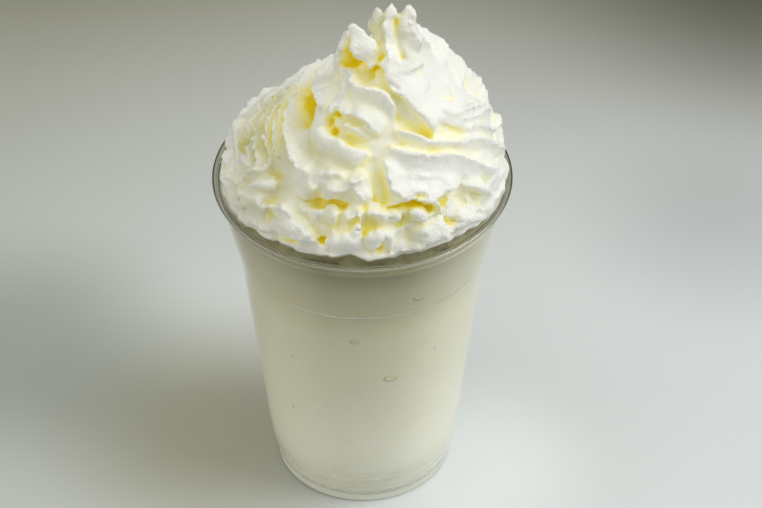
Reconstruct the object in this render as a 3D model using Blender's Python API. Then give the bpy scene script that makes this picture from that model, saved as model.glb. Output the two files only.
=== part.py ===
"""A milkshake in a clear plastic cup, heaped with piped whipped cream. Lengths are in millimetres, +Z is up."""

import math
from dataclasses import dataclass

import bpy
import numpy as np

MM = 0.001

# The cup: a tapered wall, a stepped foot, a wider band under a rolled rim
CUP_HEIGHT = 122.0
RIM_RADIUS = 49.0
LIP_RADIUS = 1.6
WALL = 0.7
FOOT_RADIUS = 30.1
FOOT_RING = 2.2
FOOT_ROUND = 0.7
BASE_RECESS = 3.0
RECESS_SLOPE = 0.8
TIER_HEIGHTS = (5.5, 8.8, 12.5)
TIER_STEP = 0.35
TIER_RISE = 0.6
SHOULDER_HEIGHT = 94.6
SHOULDER_RADIUS = 41.2
SHOULDER_BEAD = 0.7
BEAD_RISE = 0.8
BAND_TOP_HEIGHT = 118.2
CUP_SEGMENTS = 64
LIP_STEPS = 11

# The milkshake, and the clearance between neighbours
GAP = 0.3
SHAKE_TOP = 117.0

# The heap of cream: how far its middle leans to the right, and its radius, at each height
HEAP_LEAN = ((118, 0), (130, 1), (142, 2.5), (150, 4.5), (156, 6.5), (165, 9.5), (172, 10.8), (190, 10))
HEAP_RADIUS = (
    (112, 45.5), (124, 46.8), (130, 47), (142, 43), (150, 37), (156, 31),
    (165, 22), (172, 16.5), (179, 12.5), (186, 6.5), (190.5, 0.5),
)
CORE_FOOT = 110.0
CORE_TOP = 184.0
CORE_RINGS = 24
CORE_SEGMENTS = 64
CORE_INSET = ((110, 0.6), (117, 1.0), (124, 3.5), (134, 6.0))
CREAM_OUTER = 48.6
CREAM_TOP = 200.0

# How the ropes and folds of cream are fused, smoothed and thinned out
ROPE_STEP = 1.2
FOLD_STEP = 1.0
VOXEL = 1.2
SMOOTH_SHARE = 0.5
SMOOTH_STEPS = 3
CREAM_TRIANGLES = 7200

# The star section of a rope: its samples, its roundness, the sizes of its lumps and its rounded ends
STAR_SAMPLES = 12
STAR_SHAPE = 0.8
LUMP_SIZES = (9.0, 4.5)
END_ROUNDING = 0.6
UPWARD = (0, 0, 0.8)


@dataclass(frozen=True)
class Finish:
    """A surface finish: its name, base colour, roughness and metallic."""

    name: str
    colour: tuple
    roughness: float
    metallic: float = 0.0


@dataclass(frozen=True)
class Rope:
    """A piped rope. Each station is its azimuth, height, radius and how far it stands out of the heap."""

    stations: tuple
    points: int
    depth: float
    twist: float
    lump: float
    seed: int


@dataclass(frozen=True)
class Spike:
    """A drawn-up tip. Each station is x, y, height and radius."""

    stations: tuple
    points: int = 5
    depth: float = 0.25
    twist: float = 50.0
    lump: float = 0.08
    seed: int = 21


@dataclass(frozen=True)
class Fold:
    """A raised fold. Each station of its crest is an azimuth and a height on the heap."""

    stations: tuple
    rise: float
    half_width: float
    lean: float = 0.0
    seed: int = 40


CLEAR_PLASTIC = Finish("clear_plastic", (0.86, 0.88, 0.85), 0.08)
SHAKE_FINISH = Finish("milkshake", (0.78, 0.75, 0.64), 0.35)
CREAM_FINISH = Finish("whipped_cream", (0.93, 0.92, 0.86), 0.55)

# The lowest ring, then the broad ropes above it from left to right
RING_TURNS = (100, 461, 18)
RING_HEIGHT, RING_WAVE, RING_PHASE = 129.5, 1.5, 40
RING_RADIUS, RING_LIFT = 10.5, -0.3
ROPES = (
    Rope(
        tuple(
            (a, RING_HEIGHT + RING_WAVE * math.sin(math.radians(2 * a + RING_PHASE)), RING_RADIUS, RING_LIFT)
            for a in range(*RING_TURNS)
        ),
        points=7, depth=0.22, twist=300, lump=0.10, seed=3,
    ),
    Rope(
        ((50, 150, 11, 0), (90, 152, 11, 0), (125, 154, 11, 0), (160, 158, 10, -1), (193, 156, 11, -2),
         (208, 153, 12, -2), (225, 150.5, 12, -2), (241, 150, 10, -2), (254, 150, 8, -2), (268, 149, 7, -2.5)),
        points=9, depth=0.22, twist=30, lump=0.05, seed=5,
    ),
    Rope(
        ((276, 151, 7, -0.5), (284, 150, 8.5, 0.5), (309, 146.5, 11, 0.5), (335, 144, 12, 0.5), (360, 146, 12.5, 0),
         (390, 152, 12, 0), (420, 156, 11, 0), (460, 160, 10, 0), (500, 165, 9, 0)),
        points=5, depth=0.16, twist=10, lump=0.03, seed=7,
    ),
    Rope(
        ((274, 170.5, 6, -1), (294, 167, 8, 0), (310, 162.5, 9.5, 1), (328, 158, 11, 0.5), (346, 157, 11, 0),
         (370, 166, 10, 0), (410, 168, 10, 0), (450, 170, 9, 0), (490, 172, 8, 0)),
        points=5, depth=0.18, twist=60, lump=0.06, seed=13,
    ),
    Rope(
        ((140, 165, 7, -1), (182, 165.5, 6, -1.5), (218, 166, 8, 0.5), (244, 164.5, 8.5, 1), (263, 163, 7.5, 1)),
        points=6, depth=0.22, twist=20, lump=0.15, seed=9,
    ),
)

# The drawn-up peak with its two tips, the leaf in front of it and the one behind
SPIKES = (
    Spike(
        ((12, 2, 168, 11), (12, 0, 176, 9.5), (11, -1, 181, 7), (11, -1, 184.5, 4.8), (11, -1, 186, 3)),
        depth=0.3,
    ),
    Spike(((9, -2, 183, 3.4), (9.2, -1, 187, 2.2), (9.5, 0, 190.6, 0.6)), points=4),
    Spike(((13.5, -1, 182, 3.4), (14.8, 0, 186, 2.4), (15.4, 1, 188.2, 1.1)), points=4),
    Spike(((5, -12, 167, 6.5), (2.2, -10, 174.5, 5.2), (-1, -7, 180.5, 3.4), (-3.2, -4.5, 185.4, 0.8)), points=4),
    Spike(((6, 3, 174, 5.5), (4.4, 3, 180, 4), (3.9, 3, 184, 1.2)), points=4),
    Spike(((-4, 3, 163, 8), (-5.5, 4, 171, 5.6), (-5.3, 4.5, 177.5, 1.6)), points=4),
)

# The folds in front: the left fan, the middle, the right band, the shoulder, and the ruffles round the foot
FRONT_FOLDS = (
    Fold(((179, 149), (183, 146), (191, 144), (199, 142.5), (205, 140.5)), 5, 3.5),
    Fold(((173, 150.5), (180, 149), (191, 147.5), (203, 144.5), (212, 141)), 5, 3.5),
    Fold(((167, 155.5), (177, 153.5), (189, 151.5), (199, 150), (207, 148)), 6, 3.5),
    Fold(((170, 159.5), (183, 157.5), (193, 155), (202, 152.5), (212, 151.5), (220, 149.5), (233, 146)), 8, 5),
    Fold(((215, 160.5), (224, 159), (238, 157), (254, 156.5), (267, 154.5)), 9, 7, 0.1),
    Fold(((226, 149.5), (242, 149.5), (262, 149.5)), 5, 4, 0.2),
    Fold(((241, 145.5), (242, 148.5), (249, 149), (255, 148.5), (260, 147.5), (265, 144.5), (268, 142)),
         5, 3.5, 0.2),
    Fold(((266, 155.5), (268, 157), (277, 157), (292, 155.5), (306, 153), (322, 151), (338, 147)), 5, 5),
    Fold(((267, 155.5), (272, 153), (275, 150), (278, 147), (284, 145), (293, 143.5), (301, 142.5),
          (309, 143.5), (320, 142), (334, 138.5), (348, 136)), 9, 7, 0.35),
    Fold(((243, 174.5), (256, 172.5), (269, 169.5), (285, 167), (293, 163.5), (300, 160), (307, 156.5),
          (321, 154), (337, 149.5)), 8, 6, 0.4),
    Fold(((275, 161.5), (288, 159.5), (301, 156.5), (316, 152.5)), 4, 3, 0.2),
    Fold(((176, 168.5), (204, 170), (222, 169.5), (239, 169.5), (254, 169), (265, 167), (274, 163.5),
          (276, 161)), 7, 5.5),
    Fold(((185, 166.5), (194, 163.5), (209, 162), (221, 161), (231, 161.5), (238, 162)), 6, 4, 0.3),
    Fold(((243, 162), (257, 160), (269, 159), (275, 160)), 5, 4, 0.3),
    Fold(((208, 132), (214, 139), (220, 142), (225, 141.5)), 4, 4, 0.2),
    Fold(((208, 126.5), (218, 134), (226, 138)), 4, 4),
    Fold(((227, 136), (232, 135.5), (234, 132.5), (240, 131.5), (245, 132), (249, 129.5)), 6, 5),
    Fold(((257, 133), (255, 138), (255, 141.5), (259, 142.5), (264, 142), (266, 138.5), (266, 134)), 5.5, 3),
    Fold(((274, 130.5), (274, 134), (277, 135), (280, 132), (280, 127.5), (278, 125)), 5, 2.5),
    Fold(((279, 140), (283, 143), (289, 143.5), (295, 142.5), (300, 140.5), (302, 136.5), (301, 133)), 6.5, 3),
    Fold(((284, 138), (290, 139), (295, 137), (300, 133)), 5, 3),
    Fold(((295, 126.5), (295, 132), (302, 127.5), (310, 128), (320, 127.5), (324, 131), (333, 130.5)), 5, 4),
    Fold(((303, 143.5), (309, 143), (317, 140), (321, 135.5), (319, 131.5)), 5, 3.5, 0.2),
    Fold(((163, 132.5), (173, 133.5), (187, 137.5), (203, 141.5)), 5, 4),
    Fold(((195, 129.5), (201, 125), (216, 126.5), (228, 127), (238, 125.5), (246, 126)), 4, 5),
    Fold(((250, 128), (258, 128), (265, 127), (273, 127), (282, 127.5), (292, 128)), 3, 4),
)

# The folds that run on round the back, one long crest above another
BACK_CRESTS = ((135, -4), (142, 3), (148, -5), (154, 2), (161, -3), (168, 4))
BACK_FROM, BACK_TO, BACK_STEP = 2, 165, 18
BACK_CLIMB = 4.0
BACK_WAVE, BACK_WAVELENGTH = 1.2, 20
BACK_RISE, BACK_WIDTH = 5.5, 4.5
END_SHARE = 0.25
FOLD_ACROSS = 17
FOLD_SHARPNESS = 0.35
FOLD_ROOT = 2.0
FOLD_ROOT_SHARES = (0.8, 0.0, -0.8)
FOLD_RAG = 0.12
RAG_SIZES = (5.0, 2.2)
LEAN_SHAPE = 1.6
LEAST_END = 0.05
NORMAL_STEP = 1.5
LATTICE = 32
LATTICE_START = 100.5


def table(rows, at):
    """The value of a table of (place, value) rows at the given places."""
    rows = np.asarray(rows, float)
    return np.interp(at, rows[:, 0], rows[:, 1])


def spline(rows, count):
    """Evenly spaced points of the smooth curve through rows, whose first three columns are a position."""
    rows = np.asarray(rows, float)
    lengths = np.linalg.norm(np.diff(rows[:, :3], axis=0), axis=1)
    at = np.concatenate([[0.0], np.cumsum(lengths)])
    slope = np.gradient(rows, at, axis=0)
    where = np.linspace(0.0, at[-1], count)
    i = np.clip(np.searchsorted(at, where, side="right") - 1, 0, len(rows) - 2)
    h = (at[i + 1] - at[i])[:, None]
    t = (where - at[i])[:, None] / h
    return (
        (2 * t**3 - 3 * t**2 + 1) * rows[i]
        + (t**3 - 2 * t**2 + t) * h * slope[i]
        + (3 * t**2 - 2 * t**3) * rows[i + 1]
        + (t**3 - t**2) * h * slope[i + 1]
    )


def curve_length(rows):
    rows = np.asarray(rows, float)
    return float(np.linalg.norm(np.diff(rows[:, :3], axis=0), axis=1).sum())


def noise(points, size, seed):
    """Smooth noise from -1 to 1 with features of the given size, from a lattice of seeded values."""
    values = np.random.default_rng(seed).random((LATTICE,) * 3) * 2 - 1
    place = np.asarray(points) / size + LATTICE_START
    low = np.floor(place).astype(int)
    part = place - low
    part = part * part * (3 - 2 * part)
    total = np.zeros(len(place))
    for corner in np.ndindex(2, 2, 2):
        index = (low + corner) % LATTICE
        weight = np.prod(np.where(corner, part, 1 - part), axis=1)
        total += weight * values[tuple(index.T)]
    return total


def unit(vectors):
    return vectors / (np.linalg.norm(vectors, axis=-1, keepdims=True) + 1e-9)


def on_heap(azimuth, height):
    """The point of the heap's smooth surface at an azimuth and height, and its normal there."""
    turn = math.radians(azimuth)
    radius = table(HEAP_RADIUS, height)
    rise = 2 * NORMAL_STEP
    widening = table(HEAP_RADIUS, height + NORMAL_STEP) - table(HEAP_RADIUS, height - NORMAL_STEP)
    outward, upward = unit(np.array([rise, -widening]))
    point = np.array([table(HEAP_LEAN, height) + radius * math.cos(turn), radius * math.sin(turn), height])
    return point, np.array([outward * math.cos(turn), outward * math.sin(turn), upward])


def grid_faces(rings, around):
    """The quads of a tube of rings, and the triangles to a pole at each end, whose points come last."""
    first = np.arange(rings - 1)[:, None] * around
    here = np.arange(around)[None, :]
    after = (here + 1) % around
    sides = np.stack([first + here, first + after, first + around + after, first + around + here], -1)
    here, after = here[0], after[0]
    pole = rings * around
    last = (rings - 1) * around
    start = np.stack([np.full(around, pole), after, here], 1)
    end = np.stack([np.full(around, pole + 1), last + here, last + after], 1)
    return sides.reshape(-1, 4).tolist() + start.tolist() + end.tolist()


def frames(centres, outward):
    """Unit vectors away from a path's base, and across the path."""
    along = unit(np.gradient(centres, axis=0))
    away = unit(outward - (outward * along).sum(1)[:, None] * along)
    return away, np.cross(along, away)


def star_tube(rows, shape):
    """A rope with sharp crests and round valleys, carried along stations of position and radius."""
    length = curve_length(rows)
    count = max(8, int(length / ROPE_STEP))
    path = spline(rows, count)
    centres, radius = path[:, :3], path[:, 3]
    away, across = frames(centres, unit(centres * (1, 1, 0)) + UPWARD)
    around = shape.points * STAR_SAMPLES
    angle = np.linspace(0, 2 * np.pi, around, endpoint=False)
    share = np.linspace(0, 1, count)[:, None]
    wave = np.abs(np.sin(shape.points * (angle[None, :] + np.radians(shape.twist) * share) / 2))
    star = 1 - shape.depth * wave**STAR_SHAPE
    from_end = np.minimum(share[:, 0], 1 - share[:, 0]) * length / (END_ROUNDING * radius.mean())
    rounding = np.sqrt(np.clip(1 - (1 - np.clip(from_end, 0, 1)) ** 2, 0, 1))
    spoke = np.cos(angle)[None, :, None] * away[:, None] + np.sin(angle)[None, :, None] * across[:, None]
    reach = radius[:, None] * star
    places = (centres[:, None] + spoke * reach[..., None]).reshape(-1, 3)
    lumps = noise(places, LUMP_SIZES[0], shape.seed) + 0.5 * noise(places, LUMP_SIZES[1], shape.seed + 1)
    reach = reach * (1 + shape.lump * lumps.reshape(reach.shape)) * rounding[:, None]
    points = (centres[:, None] + spoke * reach[..., None]).reshape(-1, 3)
    return np.vstack([points, centres[0], centres[-1]]), grid_faces(count, around)


def rope_rows(rope):
    """A rope's stations as positions and radii: it lies in the heap but for how far it stands out."""
    rows = []
    for azimuth, height, radius, lift in rope.stations:
        point, normal = on_heap(azimuth, height)
        rows.append((*(point - normal * (radius - lift)), radius))
    return rows


def fold_ridge(fold):
    """A ridge with a sharp crest on the heap's surface, its sides falling in curves to a root inside."""
    rows = [np.concatenate(on_heap(azimuth, height)) for azimuth, height in fold.stations]
    count = max(10, int(curve_length(rows) / FOLD_STEP))
    path = spline(rows, count)
    centres = path[:, :3]
    away, across = frames(centres, path[:, 3:])
    share = np.linspace(0, 1, count)
    end = np.clip(np.minimum(share, 1 - share) / END_SHARE, 0, 1)
    end = np.maximum(np.sqrt(1 - (1 - end) ** 2), LEAST_END)
    ragged = noise(centres, RAG_SIZES[0], fold.seed) + 0.6 * noise(centres, RAG_SIZES[1], fold.seed + 1)
    rise = fold.rise * end * (1 + FOLD_RAG * ragged)
    width = fold.half_width * (0.4 + 0.6 * end)
    side = np.linspace(-1, 1, FOLD_ACROSS)
    foot = math.exp(-1 / FOLD_SHARPNESS)
    crest = np.clip((np.exp(-np.abs(side) / FOLD_SHARPNESS) - foot) / (1 - foot), 0, 1)
    side = np.concatenate([side, FOLD_ROOT_SHARES])
    crest = np.concatenate([crest, np.zeros(len(FOLD_ROOT_SHARES))])
    root = np.concatenate([np.zeros(FOLD_ACROSS), np.ones(len(FOLD_ROOT_SHARES))])
    sideways = side * width[:, None] + fold.lean * rise[:, None] * (crest**LEAN_SHAPE - 1)
    up = crest * rise[:, None] - root * FOLD_ROOT - fold.rise
    points = centres[:, None] + sideways[..., None] * across[:, None] + up[..., None] * away[:, None]
    ends = [points[0].mean(0), points[-1].mean(0)]
    return np.vstack([points.reshape(-1, 3), ends]), grid_faces(count, len(side))


def back_folds():
    """The long crests round the back, each climbing and waving a little."""
    folds = []
    for i, (foot, shift) in enumerate(BACK_CRESTS):
        azimuth = np.arange(BACK_FROM + shift, BACK_TO + shift, BACK_STEP)
        climb = BACK_CLIMB * (azimuth - BACK_FROM) / BACK_TO
        height = foot + climb + BACK_WAVE * np.sin(azimuth / BACK_WAVELENGTH + i)
        stations = tuple(zip(azimuth.tolist(), height.tolist()))
        folds.append(Fold(stations, BACK_RISE, BACK_WIDTH, seed=90 + 3 * i))
    return folds


def lathe(profile, segments, lean=None):
    """A profile of (radius, height) turned round the Z axis, with its ends closed on the axis."""
    profile = np.asarray(profile, float)
    turn = np.linspace(0, 2 * np.pi, segments, endpoint=False)
    radius, height = profile[:, :1], profile[:, 1:]
    middle = np.zeros_like(radius) if lean is None else table(lean, height)
    points = np.stack([middle + radius * np.cos(turn), radius * np.sin(turn), height + 0 * turn], -1)
    ends = [(middle[0, 0], 0, height[0, 0]), (middle[-1, 0], 0, height[-1, 0])]
    return np.vstack([points.reshape(-1, 3), ends]), grid_faces(len(profile), segments)


def core_profile():
    """The smooth core of the heap, up to where the peak stands on it."""
    height = np.linspace(CORE_FOOT, CORE_TOP, CORE_RINGS)
    return np.stack([np.maximum(table(HEAP_RADIUS, height) - table(CORE_INSET, height), 1.0), height], 1)


def outer_wall():
    """The cup's outside from the foot up to under the rim, as (radius, height): tiers, body, shoulder, band."""
    rows = [(FOOT_RADIUS - FOOT_ROUND, 0.0), (FOOT_RADIUS, FOOT_ROUND)]
    slope = (SHOULDER_RADIUS - FOOT_RADIUS - len(TIER_HEIGHTS) * TIER_STEP) / SHOULDER_HEIGHT
    for i, height in enumerate(TIER_HEIGHTS):
        below = FOOT_RADIUS + i * TIER_STEP + slope * height
        rows += [(below, height), (below + TIER_STEP + slope * TIER_RISE, height + TIER_RISE)]
    rows += [
        (SHOULDER_RADIUS, SHOULDER_HEIGHT),
        (SHOULDER_RADIUS + SHOULDER_BEAD, SHOULDER_HEIGHT + BEAD_RISE),
        (RIM_RADIUS - 2 * LIP_RADIUS + WALL, BAND_TOP_HEIGHT),
    ]
    return rows


def inner_wall(inset=0.0):
    """The cup's inside from its floor up to the lip, moved in by the inset."""
    floor = BASE_RECESS + WALL + inset
    rows = [(radius - WALL - inset, height) for radius, height in outer_wall()[2:]]
    corner = rows[0][0] - 2 * WALL
    return [(corner, floor), (corner + WALL, floor + WALL / 2)] + [row for row in rows if row[1] > floor + WALL]


def cup_profile():
    """The cup's whole section, from the middle of its underside round the outside and back to its floor."""
    centre = RIM_RADIUS - LIP_RADIUS, CUP_HEIGHT - LIP_RADIUS
    angles = np.radians(np.linspace(-120, 180, LIP_STEPS))
    lip = [(centre[0] + LIP_RADIUS * math.cos(a), centre[1] + LIP_RADIUS * math.sin(a)) for a in angles]
    inside = FOOT_RADIUS - FOOT_ROUND - FOOT_RING
    underside = [(1.0, BASE_RECESS), (inside - RECESS_SLOPE, BASE_RECESS), (inside, 0.0)]
    floor = BASE_RECESS + WALL
    return underside + outer_wall() + lip + inner_wall()[::-1] + [(1.0, floor)]


def shake_profile():
    """The milkshake, clear of the cup all round and level at the top."""
    rows = [row for row in inner_wall(GAP) if row[1] < SHAKE_TOP]
    edge = table([(height, radius) for radius, height in inner_wall(GAP)], SHAKE_TOP)
    return [(1.0, rows[0][1])] + rows + [(edge, SHAKE_TOP), (1.0, SHAKE_TOP)]


def room_profile():
    """All the room the cream may take: clear of the milkshake, the wall and the lip, and within the rim above."""
    foot = SHAKE_TOP + GAP
    wall = table([(height, radius) for radius, height in inner_wall(GAP)], foot)
    lip_side = RIM_RADIUS - 2 * LIP_RADIUS - GAP
    above = CUP_HEIGHT + GAP
    return [
        (1.0, foot), (wall, foot), (lip_side, BAND_TOP_HEIGHT), (lip_side, above),
        (CREAM_OUTER, above + LIP_RADIUS), (CREAM_OUTER, CREAM_TOP), (1.0, CREAM_TOP),
    ]


def make_object(name, points, faces):
    mesh = bpy.data.meshes.new(name)
    mesh.from_pydata((np.asarray(points) * MM).tolist(), [], faces)
    mesh.update()
    obj = bpy.data.objects.new(name, mesh)
    bpy.context.scene.collection.objects.link(obj)
    return obj


def bake(obj):
    """Replaces an object's mesh by what its modifiers make of it."""
    graph = bpy.context.evaluated_depsgraph_get()
    mesh = bpy.data.meshes.new_from_object(obj.evaluated_get(graph))
    obj.modifiers.clear()
    obj.data = mesh
    mesh.name = obj.name


def finish(obj, look):
    """Gives an object its material and smooth shading."""
    material = bpy.data.materials.new(look.name)
    material.use_nodes = True
    shader = material.node_tree.nodes["Principled BSDF"]
    shader.inputs["Base Color"].default_value = (*look.colour, 1.0)
    shader.inputs["Roughness"].default_value = look.roughness
    shader.inputs["Metallic"].default_value = look.metallic
    obj.data.materials.clear()
    obj.data.materials.append(material)
    obj.data.shade_smooth()


def largest_piece(obj):
    """Drops any loose scrap, so that one body is left."""
    mesh = obj.data
    edges = np.empty(len(mesh.edges) * 2, np.int32)
    mesh.edges.foreach_get("vertices", edges)
    a, b = edges.reshape(-1, 2).T
    group = np.arange(len(mesh.vertices))
    while True:
        lowest = group.copy()
        np.minimum.at(lowest, a, group[b])
        np.minimum.at(lowest, b, group[a])
        lowest = lowest[lowest]
        if (lowest == group).all():
            break
        group = lowest
    keep = group == np.bincount(group).argmax()
    if keep.all():
        return
    new = np.cumsum(keep) - 1
    places = np.array([v.co for v in mesh.vertices])[keep]
    faces = [[int(new[v]) for v in face.vertices] for face in mesh.polygons if keep[face.vertices[0]]]
    fresh = bpy.data.meshes.new(mesh.name)
    fresh.from_pydata(places.tolist(), [], faces)
    obj.data = fresh


def fused_cream(shapes):
    """One closed body out of overlapping ropes and folds, smoothed and thinned to its triangles."""
    points, faces, start = [], [], 0
    for shape_points, shape_faces in shapes:
        points.append(shape_points)
        faces += [[start + v for v in face] for face in shape_faces]
        start += len(shape_points)
    cream = make_object("whipped_cream", np.vstack(points), faces)
    remesh = cream.modifiers.new("fuse", "REMESH")
    remesh.mode = "VOXEL"
    remesh.voxel_size = VOXEL * MM
    bake(cream)
    largest_piece(cream)
    smooth = cream.modifiers.new("smooth", "SMOOTH")
    smooth.factor = SMOOTH_SHARE
    smooth.iterations = SMOOTH_STEPS
    thin = cream.modifiers.new("thin", "DECIMATE")
    thin.ratio = CREAM_TRIANGLES / (2 * len(cream.data.polygons))
    thin.use_collapse_triangulate = True
    bake(cream)
    return cream


def keep_inside(obj, room):
    """Cuts an object down to the room it may take."""
    cut = obj.modifiers.new("keep inside", "BOOLEAN")
    cut.operation = "INTERSECT"
    cut.solver = "EXACT"
    cut.object = room
    bake(obj)
    bpy.data.objects.remove(room)
    largest_piece(obj)


def build_cup():
    return make_object("cup", *lathe(cup_profile(), CUP_SEGMENTS))


def build_milkshake():
    return make_object("milkshake", *lathe(shake_profile(), CUP_SEGMENTS))


def build_cream():
    shapes = [lathe(core_profile(), CORE_SEGMENTS, HEAP_LEAN)]
    shapes += [star_tube(rope_rows(rope), rope) for rope in ROPES]
    shapes += [star_tube(spike.stations, spike) for spike in SPIKES]
    shapes += [fold_ridge(fold) for fold in [*FRONT_FOLDS, *back_folds()]]
    cream = fused_cream(shapes)
    keep_inside(cream, make_object("room", *lathe(room_profile(), CUP_SEGMENTS)))
    return cream


def main():
    for obj in list(bpy.data.objects):
        bpy.data.objects.remove(obj)
    finish(build_cup(), CLEAR_PLASTIC)
    finish(build_milkshake(), SHAKE_FINISH)
    finish(build_cream(), CREAM_FINISH)


main()
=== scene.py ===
"""A milkshake in a clear plastic cup, heaped with piped whipped cream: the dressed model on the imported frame.

Shapes are worked out in millimetres and written to the meshes in metres. +Z is up, and the cup stands on z = 0.
"""

from __future__ import annotations

import logging  # noqa: E402
import math  # noqa: E402
from dataclasses import asdict, dataclass, field  # noqa: E402
from enum import Enum  # noqa: E402
from functools import cache  # noqa: E402
from typing import ClassVar, Sequence  # noqa: E402

import bpy  # noqa: E402
import numpy as np  # noqa: E402
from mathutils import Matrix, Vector  # noqa: E402


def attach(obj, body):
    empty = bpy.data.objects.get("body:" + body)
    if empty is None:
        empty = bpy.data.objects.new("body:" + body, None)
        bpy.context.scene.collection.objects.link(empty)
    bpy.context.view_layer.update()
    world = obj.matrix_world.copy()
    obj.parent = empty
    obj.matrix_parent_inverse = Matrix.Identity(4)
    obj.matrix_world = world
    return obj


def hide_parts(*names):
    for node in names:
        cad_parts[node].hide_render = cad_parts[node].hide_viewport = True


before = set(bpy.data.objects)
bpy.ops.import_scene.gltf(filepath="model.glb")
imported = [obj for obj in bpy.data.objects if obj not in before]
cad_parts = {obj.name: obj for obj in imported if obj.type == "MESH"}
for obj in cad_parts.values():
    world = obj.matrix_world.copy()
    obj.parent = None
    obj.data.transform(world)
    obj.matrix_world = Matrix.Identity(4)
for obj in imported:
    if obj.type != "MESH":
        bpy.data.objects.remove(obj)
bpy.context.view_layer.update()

log = logging.getLogger("milkshake")

MM = 0.001
Array = np.ndarray
Colour = tuple[float, float, float]
Rows = Sequence[tuple]


class Body(Enum):
    """The one body that every piece rides on."""

    ROOT = "root"


class Slot(Enum):
    """The record's material slots."""

    PLASTIC = "clear_plastic"
    SHAKE = "milkshake"
    CREAM = "whipped_cream"


# ---- numbers on arrays ----


def table(rows: Rows, at: Array | float) -> Array:
    """Straight-line value of a table of (place, value) rows.

    Args:
        rows: places in rising order, each with its value.
        at: where to read the table.

    Returns:
        The value at each place.
    """
    grid = np.asarray(rows, float)
    return np.interp(at, grid[:, 0], grid[:, 1])


def unit(vectors: Array) -> Array:
    """Vectors scaled to length one."""
    return vectors / (np.linalg.norm(vectors, axis=-1, keepdims=True) + 1e-9)


def smooth_step(low: float, high: float, values: Array) -> Array:
    """0 below low, 1 above high, and an S-shaped rise between them."""
    t = np.clip((values - low) / (high - low), 0, 1)
    return t * t * (3 - 2 * t)


def spline(rows: Array, count: int) -> Array:
    """Smooth curve through rows, by cubic pieces whose slopes are the rows' own differences.

    Args:
        rows: points, whose first three columns are a position and the rest ride along.
        count: how many points to return, evenly spaced along the curve.

    Returns:
        An array of count rows.
    """
    rows = np.asarray(rows, float)
    at = np.concatenate([[0.0], np.cumsum(np.linalg.norm(np.diff(rows[:, :3], axis=0), axis=1))])
    slope = np.gradient(rows, at, axis=0)
    where = np.linspace(0.0, at[-1], count)
    i = np.clip(np.searchsorted(at, where, side="right") - 1, 0, len(rows) - 2)
    h = (at[i + 1] - at[i])[:, None]
    t = (where - at[i])[:, None] / h
    return (
        (2 * t**3 - 3 * t**2 + 1) * rows[i]
        + (t**3 - 2 * t**2 + t) * h * slope[i]
        + (3 * t**2 - 2 * t**3) * rows[i + 1]
        + (t**3 - t**2) * h * slope[i + 1]
    )


def curve_length(rows: Array) -> float:
    """Length of the straight pieces between rows' positions."""
    rows = np.asarray(rows, float)
    return float(np.linalg.norm(np.diff(rows[:, :3], axis=0), axis=1).sum())


class Noise:
    """Smooth noise from -1 to 1: seeded values on a lattice, blended by S-shaped weights of the eight corners."""

    SIDE = 32
    START = 100.5  # keeps every place positive, and off the lattice's own points

    def __init__(self, seed: int) -> None:
        """Draws the lattice from the seed."""
        self.values = np.random.default_rng(seed).random((self.SIDE,) * 3) * 2 - 1

    def at(self, points: Array, size: float) -> Array:
        """The noise at points.

        Args:
            points: positions, one a row.
            size: size of the features, in the points' unit.

        Returns:
            One value for each point.
        """
        place = np.asarray(points) / size + self.START
        low = np.floor(place).astype(int)
        part = place - low
        part = part * part * (3 - 2 * part)
        total = np.zeros(len(place))
        for corner in np.ndindex(2, 2, 2):
            index = (low + corner) % self.SIDE
            total += np.prod(np.where(corner, part, 1 - part), axis=1) * self.values[tuple(index.T)]
        return total


def layered(points: Array, layers: Rows, folded: bool = False) -> Array:
    """The sum of several noises at points.

    Args:
        points: positions, one a row.
        layers: a seed, a size and a depth for each noise.
        folded: whether each noise counts by its size alone, which makes rounded lobes between creases.

    Returns:
        One value for each point.
    """
    values = ((Noise(seed).at(points, size), depth) for seed, size, depth in layers)
    return sum(depth * (np.abs(value) if folded else value) for value, depth in values)


def tube_faces(rings: int, around: int) -> tuple[Array, Array]:
    """Faces of a tube of rings whose two end poles come after its points: quads, and triangles at the ends."""
    first = np.arange(rings - 1)[:, None] * around
    here = np.arange(around)[None, :]
    after = (here + 1) % around
    quads = np.stack([first + here, first + after, first + around + after, first + around + here], -1).reshape(-1, 4)
    here, after = here[0], after[0]
    pole, last = rings * around, (rings - 1) * around
    start = np.stack([np.full(around, pole), after, here], 1)
    end = np.stack([np.full(around, pole + 1), last + here, last + after], 1)
    return quads, np.vstack([start, end])


@dataclass
class Solid:
    """Points in millimetres with quads and triangles."""

    points: Array
    quads: Array
    triangles: Array

    @staticmethod
    def joined(solids: Sequence["Solid"]) -> "Solid":
        """One solid of several, each keeping its own faces."""
        starts = np.cumsum([0] + [len(s.points) for s in solids[:-1]])
        return Solid(
            np.vstack([s.points for s in solids]),
            np.vstack([s.quads + n for s, n in zip(solids, starts)]),
            np.vstack([s.triangles + n for s, n in zip(solids, starts)]),
        )

    @staticmethod
    def tube(grid: Array, ends: Sequence[Array] | None = None) -> "Solid":
        """A closed tube.

        Args:
            grid: its rings of points, the first and the last closed by a pole.
            ends: the two poles, or None for the middles of the end rings.

        Returns:
            The solid.
        """
        ends = [grid[0].mean(0), grid[-1].mean(0)] if ends is None else ends
        return Solid(np.vstack([grid.reshape(-1, 3), ends]), *tube_faces(*grid.shape[:2]))

    def to_object(self, name: str) -> bpy.types.Object:
        """A new object of this shape, at the origin.

        Args:
            name: the piece's name.

        Returns:
            The object, linked to the scene.
        """
        mesh = bpy.data.meshes.new(name)
        mesh.from_pydata((self.points * MM).tolist(), [], self.quads.tolist() + self.triangles.tolist())
        mesh.update()
        mesh.shade_smooth()
        obj = bpy.data.objects.new(name, mesh)
        bpy.context.scene.collection.objects.link(obj)
        return obj


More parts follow.
